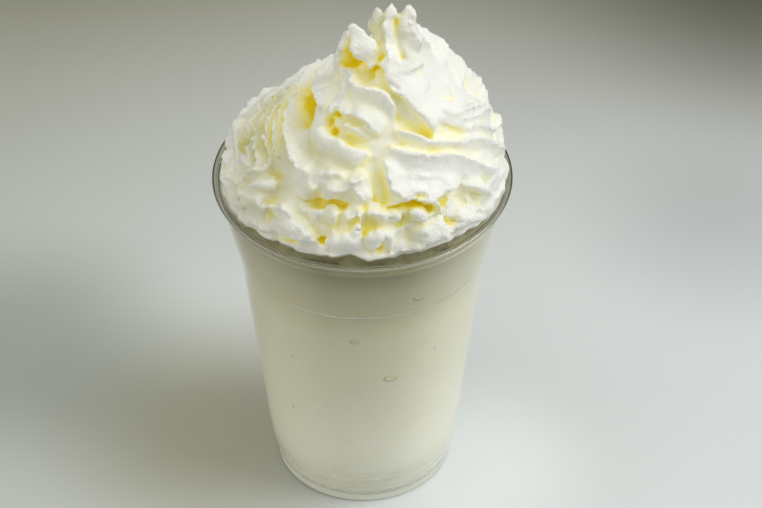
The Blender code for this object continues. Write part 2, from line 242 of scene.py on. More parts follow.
def lathe(profile: Rows, segments: int) -> Solid:
    """A profile turned round the Z axis: x = r cos t, y = r sin t, closed by a pole at each end.

    Args:
        profile: (radius, height) pairs, from the first pole's ring to the last one's.
        segments: how many steps round.

    Returns:
        The closed solid.
    """
    grid = np.asarray(profile, float)
    turn = np.linspace(0, 2 * np.pi, segments, endpoint=False)
    radius, height = grid[:, :1], grid[:, 1:]
    points = np.stack([radius * np.cos(turn), radius * np.sin(turn), height + 0 * turn], -1)
    return Solid.tube(points, [(0, 0, height[0, 0]), (0, 0, height[-1, 0])])


def path_frames(centres: Array, outward: Array) -> tuple[Array, Array]:
    """For each point of a path, the unit vector nearest to outward that stands across the path, and the third one."""
    along = unit(np.gradient(centres, axis=0))
    away = unit(outward - (outward * along).sum(1)[:, None] * along)
    return away, np.cross(along, away)


# ---- the mesh as arrays ----


def read(items: bpy.types.bpy_prop_collection, name: str, width: int, kind: type) -> Array:
    """One property of all items of a mesh's collection, with width values a row."""
    flat = np.empty(len(items) * width, kind)
    items.foreach_get(name, flat)
    return flat.reshape(-1, width)


@dataclass
class Skin:
    """A closed mesh's vertices in millimetres, with its edges, for moving the vertices as whole arrays."""

    SKY_REACH: ClassVar[float] = 400.0  # half the side of the grid that the sky is read on, past every vertex
    LEAST_COSINE: ClassVar[float] = 0.15  # past this tilt, a grazed surface gets no more slack
    ASKEW: ClassVar[tuple[float, float, float]] = (0.3, 0.5, 0.8)  # along none of the sky's directions

    mesh: bpy.types.Mesh
    points: Array = field(init=False)
    edges: Array = field(init=False)
    degree: Array = field(init=False)

    def __post_init__(self) -> None:
        """Reads the vertices and edges."""
        self.points = read(self.mesh.vertices, "co", 3, np.float32).astype(float) / MM
        self.edges = read(self.mesh.edges, "vertices", 2, np.int32)
        self.degree = np.bincount(self.edges.ravel(), minlength=len(self.points)).astype(float)

    def blurred(self, values: Array, steps: int, share: float = 0.5) -> Array:
        """Values moved towards the mean of their neighbours, over and over.

        Args:
            values: one value, or one row, for each vertex.
            steps: how many times.
            share: how far each time, from 0 to 1.

        Returns:
            The blurred values.
        """
        rows = values.reshape(len(self.degree), -1)
        a, b = self.edges.T
        for _ in range(steps):
            total = [np.bincount(a, r[b], len(r)) + np.bincount(b, r[a], len(r)) for r in rows.T]
            rows = rows + share * (np.stack(total, 1) / self.degree[:, None] - rows)
        return rows.reshape(values.shape)

    def largest_part(self) -> Solid:
        """The largest connected part of a mesh of quads: small shells, such as hollows left inside it, are dropped.

        Each vertex takes the lowest number among its neighbours, and follows that number to its own lowest one, until
        nothing changes.
        """
        label = np.arange(len(self.points))
        a, b = self.edges.T
        while True:
            low = np.minimum(label[a], label[b])
            new = label.copy()
            for place in (a, b, label[a], label[b]):
                np.minimum.at(new, place, low)
            while (new[new] != new).any():
                new = new[new]
            if (new == label).all():
                break
            label = new
        kept = label == np.bincount(label).argmax()
        quads = read(self.mesh.loops, "vertex_index", 1, np.int32).reshape(-1, 4)
        quads = (np.cumsum(kept) - 1)[quads[kept[quads[:, 0]]]]
        return Solid(self.points[kept], quads, np.empty((0, 3), int))

    def write(self) -> None:
        """Puts the points back into the mesh."""
        self.mesh.vertices.foreach_set("co", (self.points * MM).astype(np.float32).ravel())
        self.mesh.update()

    def normals(self) -> Array:
        """The vertex normals of the mesh as last written."""
        return read(self.mesh.vertices, "normal", 3, np.float32).astype(float)

    def keep(self, name: str, values: Array) -> None:
        """Stores values as a point attribute of that name."""
        self.mesh.attributes.new(name, "FLOAT", "POINT").data.foreach_set("value", values.astype(np.float32))

    def sky_share(self, directions: int, cell: float, slack: float) -> Array:
        """How open each vertex lies, from 0 in a deep fold to 1 on a crest.

        For each of many directions, the vertices are dropped onto a grid across it, and those near the highest one
        of their cell see out that way. The shares are weighted by the cosine to the normal.

        Args:
            directions: how many directions, spread evenly over the sphere.
            cell: side of the grid's cells.
            slack: how far below the highest vertex still counts.

        Returns:
            One value for each vertex.
        """
        normals = self.normals()
        side_of_grid = 2 * self.SKY_REACH
        step = np.arange(directions) + 0.5
        rise = 1 - 2 * step / directions
        turn = np.pi * (1 + 5**0.5) * step
        flat = np.sqrt(1 - rise**2)
        ways = np.stack([flat * np.cos(turn), flat * np.sin(turn), rise], 1)
        seen = np.zeros(len(self.points))
        weight = np.full(len(self.points), 1e-6)
        for way in ways:
            side = unit(np.cross(way, self.ASKEW))
            other = np.cross(way, side)
            a, b = (((self.points @ across + self.SKY_REACH) / cell).astype(int) for across in (side, other))
            height = self.points @ way
            place = a * int(side_of_grid / cell) + b
            top = np.full(place.max() + 1, -np.inf)
            np.maximum.at(top, place, height)
            cosine = np.clip(normals @ way, 0, 1)
            tilt = np.sqrt(1 - cosine**2) / np.maximum(cosine, self.LEAST_COSINE)
            seen += cosine * (height > top[place] - slack - cell * tilt)
            weight += cosine
        return seen / weight


# ---- finishes ----


class Graph:
    """A material's or a group's nodes, added and linked by short calls."""

    def __init__(self, tree: bpy.types.NodeTree) -> None:
        """Keeps the tree to add to."""
        self.tree = tree

    def put(self, value: object, socket: bpy.types.NodeSocket) -> None:
        """Links a socket to an input, or sets the input to a value."""
        if isinstance(value, bpy.types.NodeSocket):
            self.tree.links.new(value, socket)
        else:
            socket.default_value = value

    def fill(self, node: bpy.types.Node, **values: object) -> bpy.types.Node:
        """Sets a node's inputs, whose names have underscores for spaces, each to a value or a linked socket."""
        for name, value in values.items():
            self.put(value, node.inputs[name.replace("_", " ")])
        return node

    def add(self, kind: str, **values: object) -> bpy.types.Node:
        """Adds a node.

        Args:
            kind: the node's type.
            values: its properties by name, and its inputs as for fill.

        Returns:
            The node.
        """
        node = self.tree.nodes.new(kind)
        own = {name: value for name, value in values.items() if hasattr(node, name)}
        for name, value in own.items():
            setattr(node, name, value)
        return self.fill(node, **{name: value for name, value in values.items() if name not in own})

    def ramp(self, factor: bpy.types.NodeSocket, stops: Sequence[tuple[float, Colour]]) -> bpy.types.NodeSocket:
        """A colour ramp.

        Args:
            factor: the socket that drives it.
            stops: places from 0 to 1, each with its colour.

        Returns:
            The colour socket.
        """
        node = self.add("ShaderNodeValToRGB", Fac=factor)
        elements = node.color_ramp.elements
        while len(elements) < len(stops):
            elements.new(0.5)
        for element, (place, colour) in zip(elements, stops):
            element.position = place
            element.color = (*colour, 1.0)
        return node.outputs["Color"]

    def blend(
        self, factor: bpy.types.NodeSocket | float, first: object, second: object, kind: str = "MIX"
    ) -> bpy.types.NodeSocket:
        """Mixes two colours.

        Args:
            factor: how much of the second one, as a number or a socket.
            first: the first colour, or its socket.
            second: the second colour, or its socket.
            kind: the way of mixing.

        Returns:
            The colour socket.
        """
        node = self.add("ShaderNodeMix", data_type="RGBA", blend_type=kind)
        sockets = {socket.identifier: socket for socket in (*node.inputs, *node.outputs)}
        self.put(factor, sockets["Factor_Float"])
        for name, value in (("A_Color", first), ("B_Color", second)):
            self.put((*value, 1.0) if isinstance(value, tuple) else value, sockets[name])
        return sockets["Result_Color"]

    def tint(self, tone: object, colour: object) -> bpy.types.NodeSocket:
        """A colour multiplied by another one."""
        return self.blend(1.0, tone, colour, "MULTIPLY")

    def math(self, operation: str, *values: object) -> bpy.types.NodeSocket:
        """The result of one sum on numbers or sockets."""
        node = self.add("ShaderNodeMath", operation=operation)
        for value, socket in zip(values, node.inputs):
            self.put(value, socket)
        return node.outputs["Value"]

    def span(self, value: bpy.types.NodeSocket, start: float, end: float) -> bpy.types.NodeSocket:
        """0 at the start value, 1 at the end value, and a straight rise between them."""
        return self.add("ShaderNodeMapRange", Value=value, From_Min=start, From_Max=end).outputs["Result"]

    def where(self) -> bpy.types.NodeSocket:
        """The place on the object, in its own coordinates."""
        return self.add("ShaderNodeTexCoord").outputs["Object"]

    def along(self, axis: str) -> bpy.types.NodeSocket:
        """The place along the object's own X, Y or Z."""
        return self.add("ShaderNodeSeparateXYZ", Vector=self.where()).outputs[axis]


def new_material(name: str) -> tuple[bpy.types.Material, Graph, bpy.types.Node]:
    """A material with its graph and its Principled shader."""
    material = bpy.data.materials.new(name)
    material.use_nodes = True
    graph = Graph(material.node_tree)
    return material, graph, material.node_tree.nodes["Principled BSDF"]


def new_group(name: str, inputs: Rows, outputs: Rows) -> tuple[Graph, bpy.types.Node, bpy.types.Node]:
    """A shader node group with its sockets and nothing in it yet.

    Args:
        name: the group's name.
        inputs: name, kind and value of each input.
        outputs: name and kind of each output.

    Returns:
        Its graph, its input node and its output node.
    """
    tree = bpy.data.node_groups.new(name, "ShaderNodeTree")
    for label, kind, value in inputs:
        tree.interface.new_socket(label, in_out="INPUT", socket_type=kind).default_value = value
    for label, kind in outputs:
        tree.interface.new_socket(label, in_out="OUTPUT", socket_type=kind)
    graph = Graph(tree)
    return graph, graph.add("NodeGroupInput"), graph.add("NodeGroupOutput")


@dataclass(frozen=True)
class Grain:
    """Two sizes of soft noise: their scales, the fine one's share, and the bump's depth in metres."""

    Size: float = 300.0
    Fine_Size: float = 1200.0
    Fine_Share: float = 0.5
    Depth: float = 0.0002


@cache
def grain_group() -> bpy.types.NodeTree:
    """The group that every finish uses: a grain's two noises mixed, as a value and as a bumped normal."""
    inputs = [(name.replace("_", " "), "NodeSocketFloat", value) for name, value in asdict(Grain()).items()]
    outputs = [("Value", "NodeSocketFloat"), ("Normal", "NodeSocketVector")]
    graph, start, end = new_group("soft grain", inputs, outputs)
    place, given = graph.where(), start.outputs
    broad = graph.add("ShaderNodeTexNoise", Vector=place, Scale=given["Size"], Detail=3.0)
    fine = graph.add("ShaderNodeTexNoise", Vector=place, Scale=given["Fine Size"], Detail=2.0)
    mix = graph.add("ShaderNodeMix", data_type="FLOAT")
    graph.fill(mix, Factor=given["Fine Share"], A=broad.outputs["Fac"], B=fine.outputs["Fac"])
    value = mix.outputs["Result"]
    bump = graph.add("ShaderNodeBump", Strength=1.0, Distance=given["Depth"], Height=value)
    graph.fill(end, Value=value, Normal=bump.outputs["Normal"])
    return graph.tree


@dataclass(frozen=True)
class PaintedRimShade:
    """Painted shade on the drink: darker towards the top, where the rim and the cream shade it, and less so at the
    sides.
    """

    top: float = 0.120
    stops: tuple[tuple[float, Colour], ...] = (
        (0.0, (1.0, 1.0, 1.0)),
        (0.25, (0.98, 0.98, 0.98)),
        (0.50, (0.86, 0.85, 0.80)),
        (0.70, (0.77, 0.76, 0.66)),
        (0.79, (0.68, 0.66, 0.52)),
        (0.89, (0.55, 0.53, 0.40)),
        (0.98, (0.29, 0.275, 0.15)),
    )
    side_from: float = 0.012
    side_full: float = 0.046
    side_share: float = 0.55


@cache
def painted_rim_shade_group() -> bpy.types.NodeTree:
    """The group that puts the painted shade under the rim over a colour, for the drink and its flecks."""
    kind, tones = "NodeSocketColor", PaintedRimShade()
    graph, start, end = new_group("depth tone", [("Colour", kind, (0.8, 0.8, 0.8, 1.0))], [("Colour", kind)])
    tone = graph.ramp(graph.span(graph.along("Z"), 0.0, tones.top), tones.stops)
    side = graph.span(graph.math("ABSOLUTE", graph.along("X")), tones.side_from, tones.side_full)
    tone = graph.blend(graph.math("MULTIPLY", side, tones.side_share), tone, (1.0, 1.0, 1.0))
    graph.fill(end, Colour=graph.tint(start.outputs["Colour"], tone))
    return graph.tree


def add_painted_rim_shade(graph: Graph, colour: bpy.types.NodeSocket) -> bpy.types.NodeSocket:
    """Places the painted shade under the rim in a material, over a colour."""
    return graph.add("ShaderNodeGroup", node_tree=painted_rim_shade_group(), Colour=colour).outputs["Colour"]


def add_grain(graph: Graph, grain: Grain) -> bpy.types.Node:
    """Places the soft grain in a material with its own values."""
    return graph.add("ShaderNodeGroup", node_tree=grain_group(), **asdict(grain))


@dataclass(frozen=True)
class CreamFinish:
    """Whipped cream with painted shade: white where it is open, pale cream shade where folds close over it, yellow
    shade in the deep pits, and a painted glow.
    """

    # how open a place lies, its colour with painted shade, and its painted glow
    steps: tuple[tuple[float, Colour, Colour], ...] = (
        (0.0, (0.72, 0.57, 0.02), (0.42, 0.32, 0.0)),
        (0.15, (0.72, 0.57, 0.02), (0.42, 0.32, 0.0)),
        (0.28, (0.86, 0.78, 0.22), (0.32, 0.27, 0.05)),
        (0.52, (0.85, 0.835, 0.66), (0.26, 0.25, 0.15)),
        (0.84, (0.84, 0.838, 0.805), (0.09, 0.088, 0.07)),
    )
    glow: float = 0.30
    # painted shade: the cream's foot, at the front and the back, takes the drink's dark tone in the shaded gap under
    # the rim
    soaked: Colour = (0.36, 0.34, 0.21)
    shaded: Colour = (0.76, 0.75, 0.56)
    roughness: float = 0.58
    roughness_spread: float = 0.1
    crumb_depth: float = 0.0014
    smooth_share: float = 0.3
    inner_light: float = 0.22
    light_reach: float = 0.003
    grain: Grain = Grain(480.0, 1500.0, 0.5, 0.0001)

    def build(self) -> bpy.types.Material:
        """The material, led by the mesh's own sky, torn, painted foot shade and shade attributes; sky and shade set
        its painted shade and glow.
        """
        material, graph, shader = new_material("whipped cream")
        sky, torn, soaked, shade = (
            graph.add("ShaderNodeAttribute", attribute_name=name).outputs["Fac"]
            for name in ("sky", "torn", "soaked", "shade")
        )
        grain = add_grain(graph, self.grain).outputs["Value"]
        # painted shade by how open a place is: yellow in the pits, pale cream in the folds; and a painted glow that
        # lifts the shade
        tone = graph.ramp(sky, [(place, colour) for place, colour, _ in self.steps])
        glow = graph.ramp(sky, [(place, light) for place, _, light in self.steps])
        # more painted shade where the shade attribute says
        tone = graph.blend(shade, tone, graph.tint(tone, self.shaded))
        crumbs = graph.add("ShaderNodeMapRange", Value=torn, To_Min=self.smooth_share).outputs["Result"]
        height = graph.math("MULTIPLY", grain, crumbs)
        bump = graph.add("ShaderNodeBump", Distance=self.crumb_depth, Height=height)
        low, high = self.roughness - self.roughness_spread, self.roughness + self.roughness_spread
        rough = graph.add("ShaderNodeMapRange", Value=grain, To_Min=low, To_Max=high)
        # base colour with the painted shade and the foot's painted shade; emission is the painted glow, dark on the
        # foot
        graph.fill(
            shader,
            Base_Color=graph.blend(soaked, tone, self.soaked),
            Emission_Color=graph.blend(soaked, glow, (0.0, 0.0, 0.0)),
            Emission_Strength=self.glow,
            Normal=bump.outputs["Normal"],
            Roughness=rough.outputs["Result"],
            Subsurface_Weight=self.inner_light,
            Subsurface_Radius=(1.0, 0.9, 0.5),
            Subsurface_Scale=self.light_reach,
            Specular_IOR_Level=0.3,
        )
        return material


@dataclass(frozen=True)
class PlasticFinish:
    """Thin clear formed plastic: a lip with a painted dark reflection at its sides, where they are seen edge-on; pale
    lines at the steps as painted highlights; a cloudy foot, partly painted light.
    """

    tint: Colour = (0.94, 0.955, 0.925)
    rim_tint: Colour = (0.85, 0.835, 0.73)
    # painted dark reflection where the lip is seen edge-on at the sides
    edge_dark: Colour = (0.04, 0.04, 0.028)
    edge_from: float = 0.028
    edge_full: float = 0.047
    # the pale haze: the foot's own haze, partly painted light, and painted highlight lines at the steps
    cloud: Colour = (0.84, 0.84, 0.76)
    rim_from: float = 0.1182
    rim_full: float = 0.1195
    cup_height: float = 122.0
    # heights of the pale haze: the foot, partly painted light, and thin lines at the steps and the shoulder bead,
    # painted highlights
    clouds: tuple[tuple[float, float], ...] = (  # height in millimetres and how cloudy
        (0.0, 0.25), (0.5, 0.35), (0.9, 0.9), (3.5, 0.9), (4.1, 0.4), (4.7, 0.0), (5.3, 0.0), (5.8, 0.5), (6.4, 0.0),
        (8.7, 0.0), (9.2, 0.45), (9.8, 0.0), (12.4, 0.0), (12.9, 0.35), (13.5, 0.0),
        (94.1, 0.0), (94.8, 0.8), (95.5, 0.0),
    )
    shadow_tint: Colour = (0.96, 0.965, 0.95)
    roughness: float = 0.03
    rim_roughness: float = 0.14
    index: float = 1.5
    grain: Grain = Grain(60.0, 240.0, 0.3, 0.00002)

    def build(self) -> bpy.types.Material:
        """The material."""
        material, graph, shader = new_material("clear plastic")
        grain = add_grain(graph, self.grain)
        height = graph.along("Z")
        rim = graph.span(height, self.rim_from, self.rim_full)
        facing = graph.add("ShaderNodeLayerWeight", Blend=0.5).outputs["Facing"]
        # painted dark reflection at the lip's sides
        edge = graph.ramp(facing, [(0.0, (1, 1, 1)), (0.30, (1, 1, 1)), (0.58, self.edge_dark)])
        sides = graph.span(graph.math("ABSOLUTE", graph.along("X")), self.edge_from, self.edge_full)
        lip = graph.blend(sides, self.rim_tint, graph.tint(self.rim_tint, edge))
        rough = graph.add("ShaderNodeMapRange", Value=rim, To_Min=self.roughness, To_Max=self.rim_roughness)
        graph.fill(
            shader,
            Base_Color=graph.blend(rim, self.tint, lip),
            Normal=grain.outputs["Normal"],
            Roughness=rough.outputs["Result"],
            IOR=self.index,
            Transmission_Weight=1.0,
        )
        # the pale haze mixed in by height: partly painted light on the foot, painted highlights at the steps
        places = graph.span(height, 0.0, self.cup_height * MM)
        share = graph.ramp(places, [(z / self.cup_height, (value,) * 3) for z, value in self.clouds])
        cloud = graph.add("ShaderNodeBsdfDiffuse", Color=(*self.cloud, 1.0))
        clear = graph.add("ShaderNodeBsdfTransparent", Color=(*self.shadow_tint, 1.0))
        shadow = graph.add("ShaderNodeLightPath").outputs["Is Shadow Ray"]
        surface = shader.outputs["BSDF"]
        for factor, other in ((share, cloud), (shadow, clear)):
            mix = graph.add("ShaderNodeMixShader", Fac=factor)
            graph.put(surface, mix.inputs[1])
            graph.put(other.outputs["BSDF"], mix.inputs[2])
            surface = mix.outputs["Shader"]
        graph.fill(material.node_tree.nodes["Material Output"], Surface=surface)
        return material


@dataclass(frozen=True)
class ShakeFinish:
    """Vanilla milkshake: a soft pale drink with a faint uneven tone, and painted shade that deepens towards the top.
    """

    pale: Colour = (0.90, 0.885, 0.79)
    deep: Colour = (0.88, 0.86, 0.75)
    roughness: float = 0.4
    inner_light: float = 0.3
    light_reach: float = 0.004
    grain: Grain = Grain(45.0, 260.0, 0.35, 0.00005)

    def build(self) -> bpy.types.Material:
        """The material."""
        material, graph, shader = new_material("milkshake")
        grain = add_grain(graph, self.grain)
        colour = graph.ramp(grain.outputs["Value"], [(0.35, self.deep), (0.65, self.pale)])
        graph.fill(
            shader,
            # painted shade: darker towards the top under the rim and the cream, less so at the sides
            Base_Color=add_painted_rim_shade(graph, colour),
            Normal=grain.outputs["Normal"],
            Roughness=self.roughness,
            Subsurface_Weight=self.inner_light,
            Subsurface_Radius=(1.0, 0.9, 0.7),
            Subsurface_Scale=self.light_reach,
        )
        return material


@dataclass(frozen=True)
class FleckFinish:
    """A small fleck or bubble seen through the wall."""

    name: str
    colour: Colour
    darker_share: float = 0.85
    grain: Grain = Grain(900.0, 2400.0, 0.5, 0.00005)
    roughness: float = 0.5

    def build(self) -> bpy.types.Material:
        """The material."""
        material, graph, shader = new_material(self.name)
        grain = add_grain(graph, self.grain)
        darker = tuple(self.darker_share * c for c in self.colour)
        colour = graph.ramp(grain.outputs["Value"], [(0.3, darker), (0.7, self.colour)])
        # the same painted shade under the rim and the cream as the drink
        graph.fill(shader, Base_Color=add_painted_rim_shade(graph, colour), Roughness=self.roughness)
        return material


@dataclass(frozen=True)
class Patch:
    """A soft round patch of painted light, where its tone is over 1, or painted shadow, where it is under 1, on the
    tabletop: full inside its inner reach and gone at its outer one.
    """

    tone: Colour
    centre: tuple[float, float]
    reach: tuple[float, float]


@dataclass(frozen=True)
class FloorFinish:
    """A smooth pale tabletop with a soft sheen, with painted light and shade: it falls off into a painted olive dusk
    at the far side, with painted shadows and pools of light round the cup.
    """

    # painted light and shade: the near tone, a painted dusk far away, painted shade far to the right and near the
    # left
    near: Colour = (0.67, 0.70, 0.72)
    far: Colour = (0.28, 0.27, 0.20)
    far_right: Colour = (0.40, 0.40, 0.37)
    near_left: Colour = (0.80, 0.80, 0.745)
    away: tuple[float, float] = (0.03, 0.30)
    away_power: float = 2.2
    rightwards: tuple[float, float] = (-0.02, 0.16)
    leftwards: tuple[float, float] = (0.0, -0.14)
    # painted shadows beside and left of the cup, painted pools of light near it, painted shade far to the right
    patches: tuple[Patch, ...] = (
        Patch((0.68, 0.65, 0.52), (-0.054, 0.004), (0.01, 0.085)),
        Patch((0.72, 0.74, 0.72), (-0.125, 0.055), (0.01, 0.075)),
        Patch((1.10, 1.10, 1.09), (-0.052, 0.066), (0.0, 0.060)),
        Patch((1.12, 1.13, 1.16), (-0.100, -0.080), (0.0, 0.110)),
        Patch((1.22, 1.22, 1.22), (0.034, -0.012), (0.01, 0.060)),
        Patch((0.80, 0.80, 0.81), (0.140, 0.120), (0.0, 0.080)),
        Patch((0.50, 0.50, 0.46), (0.190, 0.290), (0.02, 0.140)),
    )
    roughness: float = 0.32
    grain: Grain = Grain(6.0, 90.0, 0.2, 0.00001)

    def build(self) -> bpy.types.Material:
        """The material: its painted light and shade run along the object's own X and Y."""
        material, graph, shader = new_material("tabletop")
        grain = add_grain(graph, self.grain)
        faint = graph.ramp(grain.outputs["Value"], [(0.3, (0.98, 0.98, 0.98)), (0.7, (1.0, 1.0, 1.0))])
        # painted dusk away from the camera, deeper to the right, and painted shade to the left
        away = graph.math("POWER", graph.span(graph.along("Y"), *self.away), self.away_power)
        right = graph.math("MULTIPLY", away, graph.span(graph.along("X"), *self.rightwards))
        left = graph.span(graph.along("X"), *self.leftwards)
        tone = graph.blend(away, self.near, self.far)
        tone = graph.blend(right, tone, graph.tint(tone, self.far_right))
        tone = graph.blend(left, tone, graph.tint(tone, self.near_left))
        # painted shadows and pools of light
        for patch in self.patches:
            apart = graph.add("ShaderNodeVectorMath", operation="DISTANCE")
            graph.put(graph.where(), apart.inputs[0])
            graph.put((*patch.centre, 0.0), apart.inputs[1])
            inner, outer = patch.reach
            share = graph.add(
                "ShaderNodeMapRange", interpolation_type="SMOOTHSTEP", Value=apart.outputs["Value"],
                From_Min=inner, From_Max=outer, To_Min=1.0, To_Max=0.0,
            )
            tone = graph.blend(share.outputs["Result"], tone, graph.tint(tone, patch.tone))
        graph.fill(shader, Base_Color=graph.tint(tone, faint), Roughness=self.roughness)
        return material


def dress(obj: bpy.types.Object, material: bpy.types.Material, slot: Slot, *nodes: str) -> bpy.types.Object:
    """Gives a piece its material and its body, and hides the nodes that it stands for."""
    obj.data.materials.clear()
    obj.data.materials.append(material)
    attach(obj, Body.ROOT.value)
    if nodes:
        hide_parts(*nodes)
    return obj


# ---- the cup ----


@dataclass
class Cup:
    """The clear cup: a tapered wall with a stepped foot, a wider band and a rolled rim."""

    height: float = 122.0
    rim_radius: float = 49.0
    lip_width: float = 2.3
    lip_rise: float = 1.7
    lip_wall: float = 0.35
    lip_end: float = -110.0
    wall: float = 0.65
    foot_radius: float = 30.1
    foot_ring: float = 2.2
    foot_round: float = 0.7
    recess: float = 3.0
    tiers: tuple[float, ...] = (5.5, 8.8, 12.5)
    tier_step: float = 0.35
    tier_rise: float = 0.6
    shoulder_height: float = 94.6
    shoulder_radius: float = 41.2
    bead: float = 0.7
    bead_rise: float = 0.8
    band_top: float = 118.2
    segments: int = 192
    finish: PlasticFinish = PlasticFinish()

    def straight(self, start: tuple[float, float], end: tuple[float, float]) -> list[tuple[float, float]]:
        """Ten even steps from one (radius, height) to another, without the first."""
        return [tuple(a + (b - a) * share for a, b in zip(start, end)) for share in np.linspace(0.1, 1.0, 10)]

    def outside(self) -> list[tuple[float, float]]:
        """The outside from the foot up to under the rim, as (radius, height): tiers, body, shoulder, band."""
        rows = [
            (self.foot_radius - self.foot_round * (1 - math.sin(a)), self.foot_round * (1 - math.cos(a)))
            for a in np.linspace(0, math.pi / 2, 5)
        ]
        rise = self.shoulder_radius - self.foot_radius - len(self.tiers) * self.tier_step
        slope = rise / self.shoulder_height
        for i, height in enumerate(self.tiers):
            below = self.foot_radius + i * self.tier_step + slope * height
            for share in (0.0, 0.2, 0.5, 0.8, 1.0):
                step = self.tier_step * smooth_step(0, 1, share) + slope * self.tier_rise * share
                rows.append((below + step, height + self.tier_rise * share))
        rows += self.straight(rows[-1], (self.shoulder_radius, self.shoulder_height))
        for share in (0.15, 0.35, 0.5, 0.65, 0.85, 1.0):
            out = self.bead * smooth_step(0, 1, share)
            rows.append((self.shoulder_radius + out, self.shoulder_height + self.bead_rise * share))
        return rows + self.straight(rows[-1], (self.rim_radius - self.lip_width + self.lip_wall, self.band_top))

    def inside(self, outset: float = 0.0) -> list[tuple[float, float]]:
        """The inside from the floor up to under the rim: the outside moved in by the wall, less an outset.

        Args:
            outset: how far into the wall to go.

        Returns:
            (radius, height) rows from the floor's edge upwards.
        """
        floor = self.recess + self.wall
        rows = [(r - self.wall + outset, z) for r, z in self.outside() if z > floor + 2 * self.wall]
        corner = rows[0][0]
        turn = [
            (corner - 2 * self.wall * (1 - math.sin(a)), floor - outset + 2 * self.wall * (1 - math.cos(a)))
            for a in np.linspace(0, math.pi / 2, 6)
        ]
        return turn[:-1] + rows

    def profile(self) -> list[tuple[float, float]]:
        """The whole section: underside, outside, the lip's curl out and back, inside, floor.

        The lip is a strip curled round an oval: its inner face runs from the wall over to the tucked end, and its
        outer face comes back.
        """
        half, tall = self.lip_width / 2, self.lip_rise / 2
        centre = (self.rim_radius - half, self.height - tall)
        sweep = np.radians(np.linspace(180, self.lip_end, 26))
        under, over = (
            [(centre[0] + (half - wall) * math.cos(a), centre[1] + (tall - wall) * math.sin(a)) for a in turns]
            for wall, turns in ((self.lip_wall, sweep), (0.0, sweep[::-1]))
        )
        ring = self.foot_radius - self.foot_round - self.foot_ring
        underside = [(0.4, self.recess), (ring * 0.5, self.recess), (ring - 0.8, self.recess)]
        underside += [(ring - 0.3, self.recess * 0.7), (ring, 0.15), (ring + 0.3, 0.0)]
        floor = [(ring * 0.5, self.recess + self.wall), (0.4, self.recess + self.wall)]
        return underside + self.outside() + under + over + self.inside()[::-1] + floor

    def lip_room(self) -> float:
        """The radius of the opening between the lip's inner edges."""
        return self.rim_radius - self.lip_width

    def build(self) -> bpy.types.Object:
        """Builds and dresses the cup."""
        obj = lathe(self.profile(), self.segments).to_object("clear_cup")
        return dress(obj, self.finish.build(), Slot.PLASTIC, "cup")


# ---- the milkshake ----


@dataclass(frozen=True)
class Fleck:
    """A fleck in the drink at the wall: its place, its half sizes along the wall and up it, and its turn."""

    azimuth: float
    height: float
    half_length: float
    half_height: float
    turn: float = 0.0


